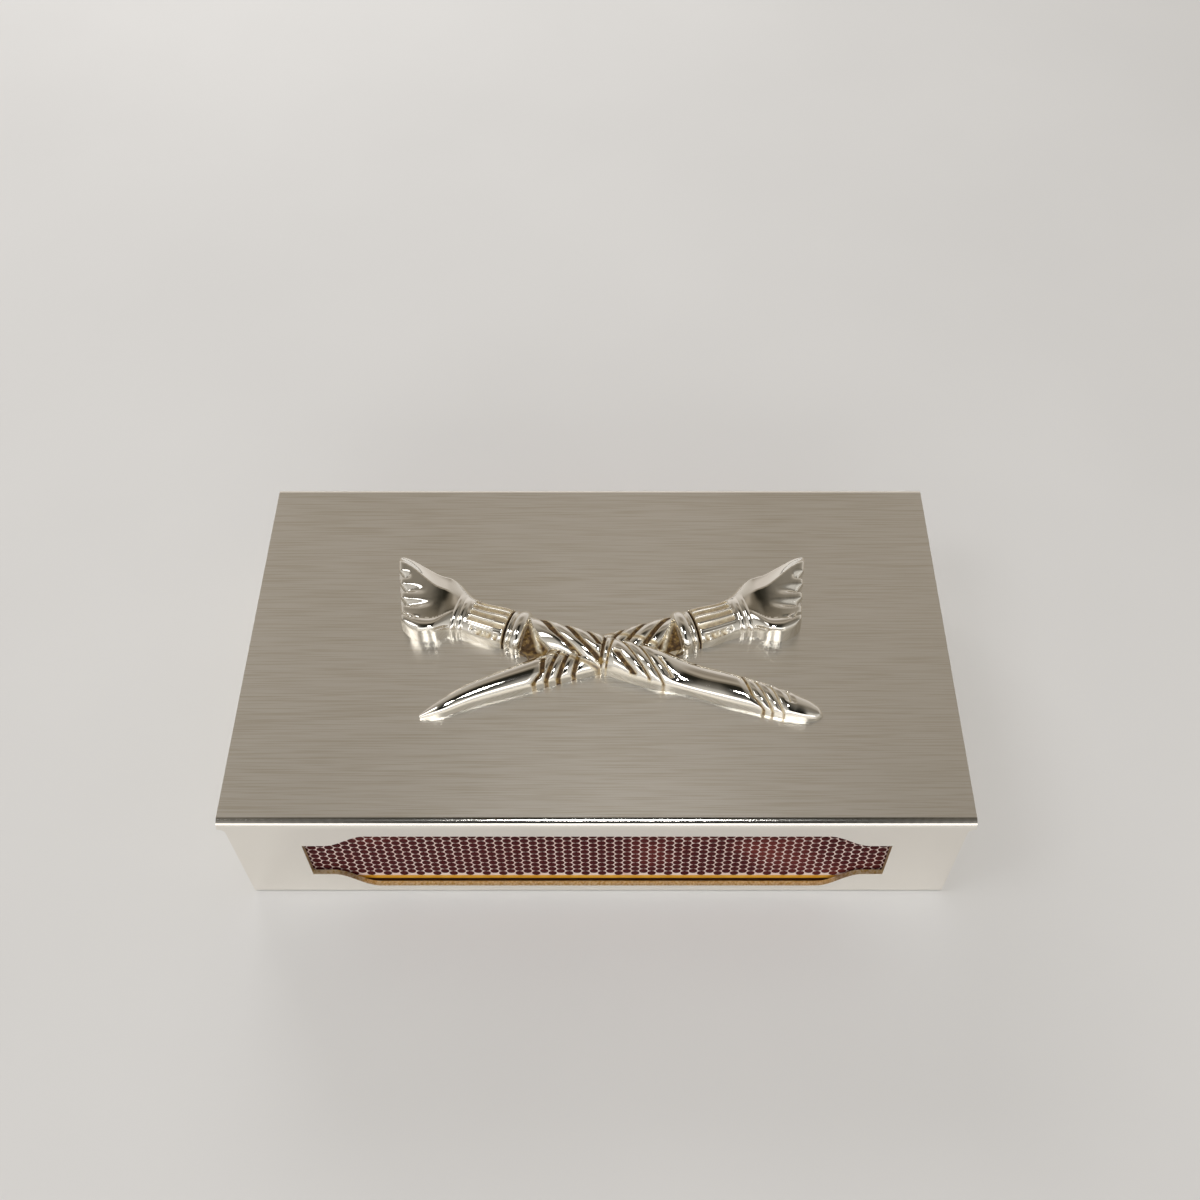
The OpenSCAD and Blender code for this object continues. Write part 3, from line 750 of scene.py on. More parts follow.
def flame_height(s, v, share, turn_share):
    """Height of the flame's upper face: s along, v across, share from front 0 to back 1."""
    ridge_share = through(RIDGE_SHARE, s)
    ridge_z = through(RIDGE_Z, s)
    climb = np.clip((share - HOLLOW_SHARE) / (ridge_share - HOLLOW_SHARE), 0, 1)
    rising = HOLLOW_Z + (ridge_z - HOLLOW_Z) * climb ** HOLLOW_BOW
    fall = np.clip((share - ridge_share) / (1 - ridge_share), 0, 1)
    falling = ridge_z - (ridge_z - RIM_Z) * ((1 + FALL_BOW) * fall - FALL_BOW * fall**3)
    height = np.where(share < ridge_share, rising, falling)
    height = height + ROLL_H * dome(v - through(ROLL, s), ROLL_HALF) * (1 - eased(s, *ROLL_FADE))
    return height - VALLEY_DEPTH * valley_share(turn_share, s - HEAD_END)


def edge_round(distance, radius):
    """Drop of a surface that rounds over towards its rim."""
    t = np.clip(distance / radius, 0, 1)
    return radius * (1 - np.sqrt(np.clip(1 - (1 - t) ** 2, 0, 1)))


print("flame has", len(VALLEYS), "valleys")

# %% [markdown]
# The uncut form of a torch follows the tables, with round rings added at the neck and at both
# ends of the cuff. It keeps a low upright foot, as a casting needs one to leave its mould
# cleanly, and the flame takes over from the round shaft at the neck.

# %% The smooth form of a torch
# Rings: place along, half width, height. Those at the neck fade out towards the back
RINGS = [(-25.0, 0.45, 0.32), (-24.0, 0.5, 0.32), (-15.5, 0.36, 0.28), (-14.05, 1.0, 0.78)]
RING_FADE = (0.5, 0.72)
BACK_RING = 0.8
FLAME_FOOT = (-28.2, -24.6)
FOOT_H = 1.0
FOOT_SHARE = 0.4
RIM_R = 0.4
TIP_R = 0.9
STATION_STEP = 0.13
ACROSS = 88


def torch_grid(tail):
    """Stations along the torch, and shares of the half turn over it, as two grids."""
    stations = np.append(np.arange(HEAD_END, tail, STATION_STEP), tail)
    return np.meshgrid(stations, np.linspace(0, 1, ACROSS + 1), indexing="ij")


def torch_form(s, turn_share, front_table, back_table, crest_table):
    """Places along and across, heights, and the heights of the foot."""
    ring = np.zeros_like(s)
    for centre, half, height in RINGS:
        all_round = 1.0 if centre > NECK + 1 else 0.0
        reach = np.maximum(1 - eased(turn_share, *RING_FADE), all_round)
        ring = np.maximum(ring, height * dome(s - centre, half) * reach)
    front = through(front_table, s) + ring
    back = through(back_table, s) + ring * BACK_RING
    crest = through(crest_table, s) + ring
    width = front + back
    share = (1 - np.cos(np.pi * turn_share)) / 2
    v = -front + width * share
    foot = np.minimum(FOOT_H, crest * FOOT_SHARE)
    plain = foot + (crest - foot) * np.sin(np.pi * turn_share)
    flame = 1 - eased(s, *FLAME_FOOT)
    height = plain * (1 - flame) + flame_height(s, v, share, turn_share) * flame
    # The flame's rims are rounded, and its outer end leans and is notched at each valley
    rim = edge_round(share * width, RIM_R) + edge_round((1 - share) * width, RIM_R)
    start = s - HEAD_END
    height = height - rim * flame - edge_round(start, TIP_R) * TIP_R
    lean = HEAD_SLANT * eased(NECK - s, 0, NECK - HEAD_END)
    u = s + lean * v + NOTCH_OUT * valley_share(turn_share, start, NOTCH_REACH)
    return u, v, height, foot


print("stations every", STATION_STEP, "mm,", ACROSS, "faces across")

# %% [markdown]
# Behind the flame is a cuff with flutes over its top, ribs between them, and a sunk panel at the
# front with a grainy ground. Polishing can't reach into such places, so each cut also marks how
# much patina the finish leaves there. The narrow gap behind the cuff is marked darker still, as
# painted shade.

# %% Cuff: flutes, panel, the gap behind it and a row of beads
CUFF = (-22.9, -16.3)
CUFF_SOFT = 0.25
# Ribs: shares of the half turn, with the half widths of their top and of their foot
RIB_PLACES = [0.305, 0.427, 0.545, 0.67, 0.79, 0.91]
RIB_HALF = (0.012, 0.036)
FLUTES_FROM = (0.27, 0.3)
FLUTE_DEPTH = 0.45
FLUTE_PATINA = 0.72
PANEL = (0.1, 0.25)
PANEL_SOFT = 0.03
PANEL_LONG = (-22.2, -17.0)
PANEL_LONG_SOFT = 0.4
PANEL_DEPTH = 0.4
PANEL_GRAIN = 0.5
PANEL_PATINA = 0.45
PANEL_SPECKS = 0.8
GAP_PLACE = -16.15
GAP_HALF = 0.35
GAP_DEPTH = 0.9
# The gap's mark is patina and painted shade: it reaches the darkest brown, standing in for the shade
# in the narrow gap
GAP_STAIN_AND_SHADE_HALF = 0.45
GAP_PATINA_AND_SHADE = 1.35
BEAD_PLACE = 0.87
BEAD_HALF = 0.03
BEAD_DEPTH = 0.25
BEAD_WAVE = 8.0
# Sizes of the lumps in the sunk grounds and on the raised strip, and where each noise is cut
GROUND_LUMP, GROUND_SEED = 0.55, 1.7
STRIP_LUMP, STRIP_SEED = 0.8, 4.2


def lumps(u, v, size, seed):
    """Grainy lumps of the cast ground, from the mesh library's own noise."""
    flat = np.stack([u.ravel() / size, v.ravel() / size], 1)
    values = [noise.noise((a, b, seed)) for a, b in flat]
    return np.array(values).reshape(u.shape)


def between(value, low, high, soft):
    """1 from low to high and 0 outside, with soft ends."""
    return eased(value, low, low + soft) * (1 - eased(value, high - soft, high))


def cuff_cuts(s, turn_share, grain):
    """How deep the cuff is cut, and the patina that stays in the cuts, with painted shade in the gap.
    """
    cuff = between(s, *CUFF, CUFF_SOFT)
    ribs = sum(1 - eased(np.abs(turn_share - place), *RIB_HALF) for place in RIB_PLACES)
    flutes = FLUTE_DEPTH * cuff * eased(turn_share, *FLUTES_FROM) * (1 - np.clip(ribs, 0, 1))
    panel = between(turn_share, *PANEL, PANEL_SOFT) * between(s, *PANEL_LONG, PANEL_LONG_SOFT)
    gap = GAP_DEPTH * hill(s - GAP_PLACE, GAP_HALF)
    wave = 0.5 + 0.5 * np.sign(np.sin(s * BEAD_WAVE))
    beads = BEAD_DEPTH * cuff * hill(turn_share - BEAD_PLACE, BEAD_HALF) * wave
    cut = flutes + panel * (PANEL_DEPTH - PANEL_GRAIN * grain) + gap + beads
    patina = np.maximum(np.clip(flutes / FLUTE_DEPTH, 0, 1) * FLUTE_PATINA,
                        panel * np.clip(PANEL_PATINA - PANEL_SPECKS * grain, 0, 1))
    # The gap behind the cuff is marked with patina and painted shade
    return cut, np.maximum(patina, hill(s - GAP_PLACE, GAP_STAIN_AND_SHADE_HALF) * GAP_PATINA_AND_SHADE)


print("cuff is", round(CUFF[1] - CUFF[0], 1), "mm long with", len(RIB_PLACES), "ribs")

# %% [markdown]
# The ribbon starts behind the collar ring. Beside its grooves there is a sunk triangle with a
# grainy ground, crossed by one raised strip.

# %% Ribbon: grooves, and the grainy triangle behind the collar
# The triangle's slanting side, as (across, along)
TRIANGLE = [(-3.4, -8.6), (-2.7, -8.1), (-1.8, -10.0), (0.4, -12.2), (1.7, -13.0)]
TRIANGLE_FROM = (-13.4, -13.1)
TRIANGLE_SIDE = (-0.25, 0.1)
TRIANGLE_BACK = (1.5, 1.9)
TRIANGLE_DEPTH = 1.35
GROUND_GRAIN = 0.35
# The strip's place along where it meets the back, how that runs forwards, and its form
STRIP_FROM, STRIP_ACROSS = -12.9, 1.2
STRIP_SLOPE = 0.75
STRIP_HALF = 0.75
STRIP_RISE = 0.9
STRIP_POLISH = 0.6
PILLOW_FALL = 0.22
# A groove of this depth or more is fully stained
STAINED_DEPTH = 0.38
GROOVE_PATINA = 1.05
SOFT_START = 0.1


def ribbon_cuts(s, u, v, grain, grooves):
    """How deep the ribbon is cut, and the patina that stays in the cuts."""
    depth, sag = groove_depths(grooves, u, v)
    on_ribbon = eased(s, RIBBON_START - SOFT_START, RIBBON_START + SOFT_START)
    side = u - np.interp(v, *np.array(TRIANGLE).T)
    triangle = eased(u, *TRIANGLE_FROM) * (1 - eased(side, *TRIANGLE_SIDE))
    triangle = triangle * on_ribbon * (1 - eased(v, *TRIANGLE_BACK))
    strip = hill(u - (STRIP_FROM + (STRIP_ACROSS - v) * STRIP_SLOPE), STRIP_HALF) * triangle
    triangle_cut = (triangle * (TRIANGLE_DEPTH - GROUND_GRAIN * grain)
                    - strip * (STRIP_RISE + GROUND_GRAIN * lumps(u, v, STRIP_LUMP, STRIP_SEED)))
    cut = on_ribbon * (depth + PILLOW_FALL * sag) + triangle_cut
    patina = GROOVE_PATINA * np.clip(depth / STAINED_DEPTH, 0, 1) * on_ribbon
    return cut, np.maximum(patina, triangle - strip * STRIP_POLISH)


print("ribbon starts", RIBBON_START - HEAD_END, "mm from the flame's end")

# %% [markdown]
# Each torch is the uncut form less both sets of cuts, which fade out towards the feet. The
# surface is then closed with upright walls and a flat underside. The walls lean out a little
# towards the foot, because a casting needs that draft.

# %% From a surface to a closed casting
CROSS_X = 0.5
CROSS_Y = -3.2
TORCH_ANGLE = 18.0
SOLDER = 0.02
WALL_ROWS = 6
DRAFT = 0.08
CUT_FADE = 1.6
LEAST_SHARE = 0.35


def torch_surface(front_table, back_table, crest_table, grooves, tail):
    s, turn_share = torch_grid(tail)
    u, v, height, foot = torch_form(s, turn_share, front_table, back_table, crest_table)
    grain = lumps(u, v, GROUND_LUMP, GROUND_SEED)
    cuff_cut, cuff_patina = cuff_cuts(s, turn_share, grain)
    ribbon_cut, ribbon_patina = ribbon_cuts(s, u, v, grain, grooves)
    steep = np.clip(np.sin(np.pi * turn_share) * CUT_FADE, 0, 1)
    cut_height = height - (cuff_cut + ribbon_cut) * steep
    height = np.maximum(cut_height, LEAST_SHARE * np.minimum(foot, height))
    return u, v, height, np.maximum(cuff_patina, ribbon_patina)


def side_wall(surface, column, outward):
    """Rows up one side wall, from its foot to the edge of the surface."""
    u, v, height = (part[:, column] for part in surface[:3])
    shares = np.linspace(0, 1, WALL_ROWS, endpoint=False)
    return [(u, v + outward * DRAFT * (1 - k) * np.minimum(height, 1), height * k) for k in shares]


# The patina mark also holds painted shade in the gap behind the cuff
def mark_patina(obj, values):
    layer = obj.data.attributes.new("patina", "FLOAT", "POINT")
    layer.data.foreach_set("value", np.asarray(values, np.float32).ravel())


def torch_solid(name, surface, mirrored, *materials):
    # Each section: up the front wall, over the top, down the back wall
    u, v, height, patina = surface
    over = [(u[:, j], v[:, j], height[:, j]) for j in range(u.shape[1])]
    sections = side_wall(surface, 0, -1) + over + side_wall(surface, -1, 1)[::-1]
    grid = np.stack([np.stack(part, 1) for part in sections], 1)
    rows, m = grid.shape[:2]
    points = grid.reshape(-1, 3)
    angle = math.radians(TORCH_ANGLE)
    x = points[:, 0] * math.cos(angle) + points[:, 1] * math.sin(angle)
    y = -points[:, 0] * math.sin(angle) + points[:, 1] * math.cos(angle)
    z = np.maximum(points[:, 2] + cover_h, cover_h + SOLDER)
    flip = -1 if mirrored else 1
    placed = np.stack([flip * x + CROSS_X, y + CROSS_Y, z], 1)
    faces = []
    for i in range(rows - 1):
        for j in range(m - 1):
            a = i * m + j
            faces.append((a, a + m, a + m + 1, a + 1))
        faces.append((i * m, i * m + m - 1, (i + 1) * m + m - 1, (i + 1) * m))
    faces.append(tuple(range(m)))
    faces.append(tuple((rows - 1) * m + j for j in range(m))[::-1])
    if mirrored:
        faces = [f[::-1] for f in faces]
    obj = new_piece(name, placed, faces, *materials)
    mark_patina(obj, np.pad(patina, ((0, 0), (WALL_ROWS, WALL_ROWS)), mode="edge"))
    return obj


print("torches cross at", (CROSS_X, CROSS_Y), "and each leans by", TORCH_ANGLE, "degrees")

# %% [markdown]
# Cast silver plate is polished by hand on the high places only, so it is close to a mirror
# there and dull gold-brown in the hollows. The patina mark made with the surface mixes the two,
# and a slight unevenness, waves about 2 mm long and a few hundredths of a millimetre deep,
# keeps the reflections from looking machined.

# %% Finish of the casting
# The ramp of the patina takes 0 to 1, so the mark, which runs to about 1.5, is divided by this
DEEPEST = 1.5


def cast_silver():
    material, tree, shader, place = new_finish("silver_plate_cast_and_polished")
    # The patina mark also holds painted shade in the gap behind the cuff
    mark = add(tree, "ShaderNodeAttribute", attribute_name="patina").outputs["Fac"]
    # The grain of the cast ground is about 0.6 mm, and its specks of tarnish about 0.8 mm
    grain = add(tree, "ShaderNodeTexNoise", {"Vector": place, "Scale": every(0.625), "Detail": 3.0})
    blotch = add(tree, "ShaderNodeTexNoise", {"Vector": place, "Scale": every(0.7692),
                                              "Detail": 2.0})
    # The deeper the place, the browner its patina, with specks of both in between
    speck = add(tree, "ShaderNodeMath", {0: blotch.outputs["Fac"], 1: 0.9, 2: -0.45},
                operation="MULTIPLY_ADD")
    deep = add(tree, "ShaderNodeMath", {0: mark, 1: speck.outputs[0]}, operation="ADD")
    scaled = add(tree, "ShaderNodeMath", {0: deep.outputs[0], 1: DEEPEST}, operation="DIVIDE")
    # The darkest stops, reached in the gap behind the cuff, are painted shade
    patina = add(tree, "ShaderNodeValToRGB", {"Fac": scaled.outputs[0]},
                 [(0.33, "#cfbc8a"), (0.53, "#a3864f"), (0.68, "#5a4224"), (0.9, "#1e150b")])
    base = add(tree, "ShaderNodeMix", {"Factor": mark, "A": linear("#f6f2ea"),
                                       "B": patina.outputs["Color"]}, data_type="RGBA")
    tree.links.new(base.outputs["Result"], shader.inputs["Base Color"])
    # Tarnish is only partly metal, and it scatters light where the polish mirrors it
    metal = add(tree, "ShaderNodeMapRange", {"Value": mark, "To Min": 1.0, "To Max": 0.3})
    tree.links.new(metal.outputs[0], shader.inputs["Metallic"])
    gloss = add(tree, "ShaderNodeMapRange", {"Value": mark, "To Min": 0.07, "To Max": 0.6})
    tree.links.new(gloss.outputs[0], shader.inputs["Roughness"])
    wave = add(tree, "ShaderNodeTexNoise", {"Vector": place, "Scale": every(2.0833), "Detail": 1.0})
    uneven = add(tree, "ShaderNodeBump", {"Height": wave.outputs["Fac"], "Strength": 0.5,
                                          "Distance": 0.03 * MM})
    rough = add(tree, "ShaderNodeBump", {"Height": grain.outputs["Fac"], "Strength": mark,
                                         "Distance": 0.12 * MM, "Normal": uneven.outputs[0]})
    tree.links.new(rough.outputs[0], shader.inputs["Normal"])
    return material


silver_cast = cast_silver()
print("finish:", silver_cast.name, "with", len(silver_cast.node_tree.nodes), "nodes")

# %% [markdown]
# Thin webs of metal tie the torches together in front of the collars. They were left so that
# the wax would hold together, and were never polished.

# %% The webs and the joined casting
WEB_H = 1.0
WEB_PATINA = 0.95
WEB = [(0.0, 0.5), (-9.0, 1.2), (-14.9, 2.4), (-14.9, 1.3), (-13.5, 0.5), (-12.4, -0.1),
       (-11.8, -0.9), (-11.6, -1.9), (-11.2, -3.4), (0.0, -1.5)]
# The seam where the lower torch runs into the upper one: how far from the upper one's middle
SEAM_OFF = 3.3
SEAM_HALF = 0.7
SEAM_REACH = 9
SEAM_PATINA = 0.85


def web(flip):
    outline = [(flip * x + CROSS_X, y + CROSS_Y) for x, y in WEB]
    points = [(x, y, cover_h + z) for z in (SOLDER, WEB_H) for x, y in outline]
    faces = shell_faces(len(outline))
    if flip > 0:
        faces = [f[::-1] for f in faces]
    obj = new_piece("web", points, faces, silver_cast)
    mark_patina(obj, np.full(len(points), WEB_PATINA))
    return obj


def with_seam(surface):
    """Patina on the lower torch, where it runs into the foot of the upper one."""
    u, v, height, patina = surface
    # Across the upper torch, seen from the lower one's own axes, which are mirrored
    angle = math.radians(2 * TORCH_ANGLE)
    across = u * math.sin(angle) - v * math.cos(angle)
    beside = hill(np.abs(across) - SEAM_OFF, SEAM_HALF) * (np.abs(u) < SEAM_REACH)
    return u, v, height, np.maximum(patina, SEAM_PATINA * beside)


upper_torch = torch_surface(FRONT, BACK, CREST, UPPER_GROOVES, TAIL_END)
lower_torch = torch_surface(LOW_FRONT, LOW_BACK, LOW_CREST, LOWER_GROOVES, LOW_TAIL_END)
casting = torch_solid("torch_casting", upper_torch, False, silver_cast)
boolean(casting, torch_solid("lower", with_seam(lower_torch), True, silver_cast), "UNION")
boolean(casting, web(1), "UNION")
boolean(casting, web(-1), "UNION")
smooth_faces(casting, 55)
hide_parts("crossed_torches")
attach(casting, "cover")
print("casting:", len(casting.data.vertices), "points, attributes",
      [a.name for a in casting.data.attributes if not a.name.startswith(".")])

# %% [markdown]
# ## The matchbox
# The matchbox inside is an ordinary household one: a sleeve of thin card, printed in yellow with
# brown lines, a striking strip on each long side, and a folded tray. Such a box is sold with a
# picture on its top, and here that is a plain printed border. A dark line at the foot of each side
# is painted shade along the window's sill. The print is a smooth ink on coated card, so it has a
# slight sheen over fine fibres.

# %% Printed card
BORDER_IN = 4.0
BORDER_W = 1.2
# A brown line at the foot of the side, which is painted shade along the window's sill
SILL_SHADE_LINE_Z = 1.5
SILL_SHADE_LINE_W = 0.9


def printed_card():
    material, tree, shader, place = new_finish("printed_card")
    # Fibres of card are about 0.03 mm wide, and they are drawn as soft mottling 1.4 mm across
    fibre = add(tree, "ShaderNodeTexNoise", {"Vector": place, "Scale": every(1.4286), "Detail": 4.0})
    yellow = add(tree, "ShaderNodeValToRGB", {"Fac": fibre.outputs["Fac"]},
                 [(0.3, "#dd9d26"), (0.7, "#eeb442")])
    split = add(tree, "ShaderNodeSeparateXYZ", {"Vector": place})
    # The border is a brown line, drawn where a point is on it one way and inside it the other
    on_line, inside = {}, {}
    for axis, half in (("X", sleeve_l / 2), ("Y", sleeve_d / 2)):
        out = add(tree, "ShaderNodeMath", {0: split.outputs[axis]}, operation="ABSOLUTE")
        on_line[axis] = add(tree, "ShaderNodeMath", {
            0: out.outputs[0], 1: (half - BORDER_IN - BORDER_W / 2) * MM, 2: BORDER_W / 2 * MM},
            operation="COMPARE").outputs[0]
        inside[axis] = add(tree, "ShaderNodeMath", {0: out.outputs[0], 1: (half - BORDER_IN) * MM},
                           operation="LESS_THAN").outputs[0]
    long_line = add(tree, "ShaderNodeMath", {0: on_line["Y"], 1: inside["X"]}, operation="MULTIPLY")
    short_line = add(tree, "ShaderNodeMath", {0: on_line["X"], 1: inside["Y"]}, operation="MULTIPLY")
    border = add(tree, "ShaderNodeMath", {0: long_line.outputs[0], 1: short_line.outputs[0]},
                 operation="MAXIMUM")
    # A dark brown line just above the fold, at the foot of the side, is painted shade along the
    # window's sill
    painted_sill_shade = add(tree, "ShaderNodeMath", {
        0: split.outputs["Z"], 1: (sleeve_low[2] + SILL_SHADE_LINE_Z) * MM, 2: SILL_SHADE_LINE_W / 2 * MM},
        operation="COMPARE")
    # The printed border and the painted shade line are drawn in the same brown
    printed = add(tree, "ShaderNodeMath", {0: border.outputs[0], 1: painted_sill_shade.outputs[0]},
                  operation="MAXIMUM")
    inked_and_shaded = add(tree, "ShaderNodeMix", {"Factor": printed.outputs[0], "A": yellow.outputs["Color"],
                                        "B": linear("#4a2a14")}, data_type="RGBA")
    tree.links.new(inked_and_shaded.outputs["Result"], shader.inputs["Base Color"])
    shader.inputs["Roughness"].default_value = 0.45
    tooth = add(tree, "ShaderNodeBump", {"Height": fibre.outputs["Fac"], "Strength": 0.15,
                                         "Distance": 0.03 * MM})
    tree.links.new(tooth.outputs[0], shader.inputs["Normal"])
    return material


card_print = printed_card()
print("finish:", card_print.name, "with", len(card_print.node_tree.nodes), "nodes")

# %% [markdown]
# The inside of the sleeve and the tray are unprinted recycled card: pale, matte, with short
# darker fibres that are tangled, so their noise is pushed about by itself.

# %% Unprinted card


def grey_card(name, dark, pale):
    material, tree, shader, place = new_finish(name)
    # Drawn in wisps about 1.1 mm long, since single fibres are too fine to show
    fibre = add(tree, "ShaderNodeTexNoise", {"Vector": place, "Scale": every(1.1111),
                                             "Detail": 5.0, "Distortion": 1.5})
    base = add(tree, "ShaderNodeValToRGB", {"Fac": fibre.outputs["Fac"]},
               [(0.35, dark), (0.65, pale)])
    tree.links.new(base.outputs["Color"], shader.inputs["Base Color"])
    shader.inputs["Roughness"].default_value = 0.8
    tooth = add(tree, "ShaderNodeBump", {"Height": fibre.outputs["Fac"], "Strength": 0.2,
                                         "Distance": 0.04 * MM})
    tree.links.new(tooth.outputs[0], shader.inputs["Normal"])
    return material


card_core = grey_card("card_core", "#cfc6b2", "#e2dac8")
card_tray = grey_card("tray_card", "#d8d2c2", "#ebe6d9")
print("finishes:", card_core.name, card_tray.name)

# %% [markdown]
# The sleeve is one card blank, folded round and glued along one side. It is drawn as a block with
# soft folds and a hollow. The print is on the outside only, so the inner faces and both cut ends
# show the grey card.

# %% The sleeve
CARD_T = 0.6
FOLD_R = 1.2
CARD_EDGE_R = 0.08
middle_z = (sleeve_low[2] + sleeve_high[2]) / 2
outside = shifted(rounded_outline(sleeve_d, sleeve_h, FOLD_R), middle_z)
hollow = shifted(rounded_outline(sleeve_d - 2 * CARD_T, sleeve_h - 2 * CARD_T, FOLD_R - CARD_T),
                 middle_z)
sleeve = prism("card_sleeve", outside, -sleeve_l / 2, sleeve_l / 2, "x", card_print, card_core)
boolean(sleeve, prism("hollow", hollow, -sleeve_l, sleeve_l, "x"), "DIFFERENCE")
clean_faces(sleeve)
for face in sleeve.data.polygons:
    x, y, z = np.array(face.center) / MM
    on_end = abs(face.normal.x) > 0.5
    outward = face.normal.y * y + face.normal.z * (z - middle_z) > 0
    if on_end or not outward:
        face.material_index = 1
rounded_edges(sleeve, CARD_EDGE_R, 2)
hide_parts("box_sleeve")
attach(sleeve, "matchbox")
print("sleeve faces:", len(sleeve.data.polygons))

# %% [markdown]
# The striking strips are printed: small round pads of maroon striking paste in a honeycomb
# pattern, on a paler pink ground. The paste is a matte crust of fine grit in glue, worn pale in
# places by matches, and the ground is a plain ink with a slight sheen, rubbed and stained.

# %% Finishes of the striking strip


def striking_paste():
    material, tree, shader, place = new_finish("striking_paste")
    # The grit is about 0.1 mm, and it is drawn 0.4 mm across so that it shows
    grit = add(tree, "ShaderNodeTexNoise", {"Vector": place, "Scale": every(0.4), "Detail": 4.0})
    # Worn patches are as long as the rub of a struck match, about 25 mm
    worn = add(tree, "ShaderNodeTexNoise", {"Vector": place, "Scale": every(25), "Detail": 3.0})
    maroon = add(tree, "ShaderNodeValToRGB", {"Fac": grit.outputs["Fac"]},
                 [(0.3, "#34080b"), (0.7, "#521316")])
    rubbed = add(tree, "ShaderNodeMapRange", {"Value": worn.outputs["Fac"], "From Min": 0.58,
                                              "From Max": 0.7, "To Max": 0.4})
    base = add(tree, "ShaderNodeMix", {"Factor": rubbed.outputs[0], "A": maroon.outputs["Color"],
                                       "B": linear("#8a4038")}, data_type="RGBA")
    tree.links.new(base.outputs["Result"], shader.inputs["Base Color"])
    shader.inputs["Roughness"].default_value = 0.8
    shader.inputs["Specular IOR Level"].default_value = 0.2
    rough = add(tree, "ShaderNodeBump", {"Height": grit.outputs["Fac"], "Strength": 0.5,
                                         "Distance": 0.04 * MM})
    tree.links.new(rough.outputs[0], shader.inputs["Normal"])
    return material


def striker_ground():
    material, tree, shader, place = new_finish("striker_ground_ink")
    # Rubs and stains in patches about 8 mm across
    rub = add(tree, "ShaderNodeTexNoise", {"Vector": place, "Scale": every(8.3333), "Detail": 4.0})
    base = add(tree, "ShaderNodeValToRGB", {"Fac": rub.outputs["Fac"]},
               [(0.3, "#e6c9c0"), (0.6, "#f2ded6"), (0.75, "#d3a094")])
    tree.links.new(base.outputs["Color"], shader.inputs["Base Color"])
    shader.inputs["Roughness"].default_value = 0.55
    return material


paste = striking_paste()
ground_ink = striker_ground()
print("finishes:", paste.name, ground_ink.name)

# %% [markdown]
# The pads stand a tenth of a millimetre proud, so they are modelled, each a low dome with a
# rounded rim, and not only painted. Every second column is set half a pad higher.

# %% Striking strips
PAD_PITCH = 1.56
PAD_D = 1.42
PAD_SIDES = 12
COLUMN_STEP = PAD_PITCH * math.sqrt(3) / 2
# Each ring of a pad: share of its radius, and rise as a share of the strip's thickness
PAD_RINGS = [(1.0, 0.0), (0.94, 0.42), (0.6, 0.55)]
PAD_CROWN = 0.58
GROUND_SHARE = 0.4
# Where the lowest pads' middles are, and what is kept free above, in pitches
FIRST_PAD = 0.55
FREE_ABOVE = 0.4


def add_pad(points, faces, x, face_y, z, lift):
    """One low dome on the face of the strip."""
    start = len(points)
    for radius, rise in PAD_RINGS:
        for a in range(PAD_SIDES):
            angle = 2 * math.pi * a / PAD_SIDES
            points.append((x + PAD_D / 2 * radius * math.cos(angle), face_y + lift * rise,
                           z + PAD_D / 2 * radius * math.sin(angle)))
    points.append((x, face_y + lift * PAD_CROWN, z))
    for ring in range(len(PAD_RINGS) - 1):
        p = start + ring * PAD_SIDES
        q = p + PAD_SIDES
        for a in range(PAD_SIDES):
            b = (a + 1) % PAD_SIDES
            faces.append([p + a, p + b, q + b, q + a])
    p = start + (len(PAD_RINGS) - 1) * PAD_SIDES
    for a in range(PAD_SIDES):
        faces.append([p + a, p + (a + 1) % PAD_SIDES, len(points) - 1])


def pads_outward(obj, outward):
    """Turns the open pads to face away from the box, and the closed plate outward."""
    mesh = bmesh.new()
    mesh.from_mesh(obj.data)
    for face in mesh.faces:
        if face.material_index == 1:
            face.normal_update()
            if face.normal.y * outward < 0:
                face.normal_flip()
    plate = [face for face in mesh.faces if face.material_index == 0]
    bmesh.ops.recalc_face_normals(mesh, faces=plate)
    mesh.to_mesh(obj.data)
    mesh.free()


def striking_strip(node, name):
    low, high = node_box(node)
    outward = 1 if low[1] > 0 else -1
    wall = low[1] if outward > 0 else high[1]
    lift = outward * (high[1] - low[1])
    face_y = wall + lift * GROUND_SHARE
    corners = [(low[0], low[2]), (high[0], low[2]), (high[0], high[2]), (low[0], high[2])]
    points = [(x, y, z) for y in (wall, face_y) for x, z in corners]
    faces = shell_faces(len(corners))
    plate_faces = len(faces)
    columns = int((high[0] - low[0] - PAD_PITCH) / COLUMN_STEP) + 1
    rows = int((high[2] - low[2] - FREE_ABOVE * PAD_PITCH) / PAD_PITCH)
    for c in range(columns):
        x = -(columns - 1) * COLUMN_STEP / 2 + c * COLUMN_STEP
        for k in range(rows):
            z = low[2] + PAD_PITCH * (k + FIRST_PAD + 0.5 * (c % 2))
            if z + PAD_D / 2 <= high[2]:
                add_pad(points, faces, x, face_y, z, lift)
    obj = new_piece(name, points, faces, ground_ink, paste)
    index = [0] * plate_faces + [1] * (len(faces) - plate_faces)
    obj.data.polygons.foreach_set("material_index", index)
    pads_outward(obj, outward)
    smooth_faces(obj, 50)
    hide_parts(node)
    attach(obj, "matchbox")
    return obj


for node, name in (("striker_front", "striking_strip_front"), ("striker_back", "striking_strip_back")):
    strip = striking_strip(node, name)
    print(name, "faces:", len(strip.data.polygons))

# %% [markdown]
# ## The tray and its matches
# The tray is one folded blank: a floor, two sides, and ends doubled over inwards. It is drawn as
# the lower half of a block with soft folds, with a well cut out of it.

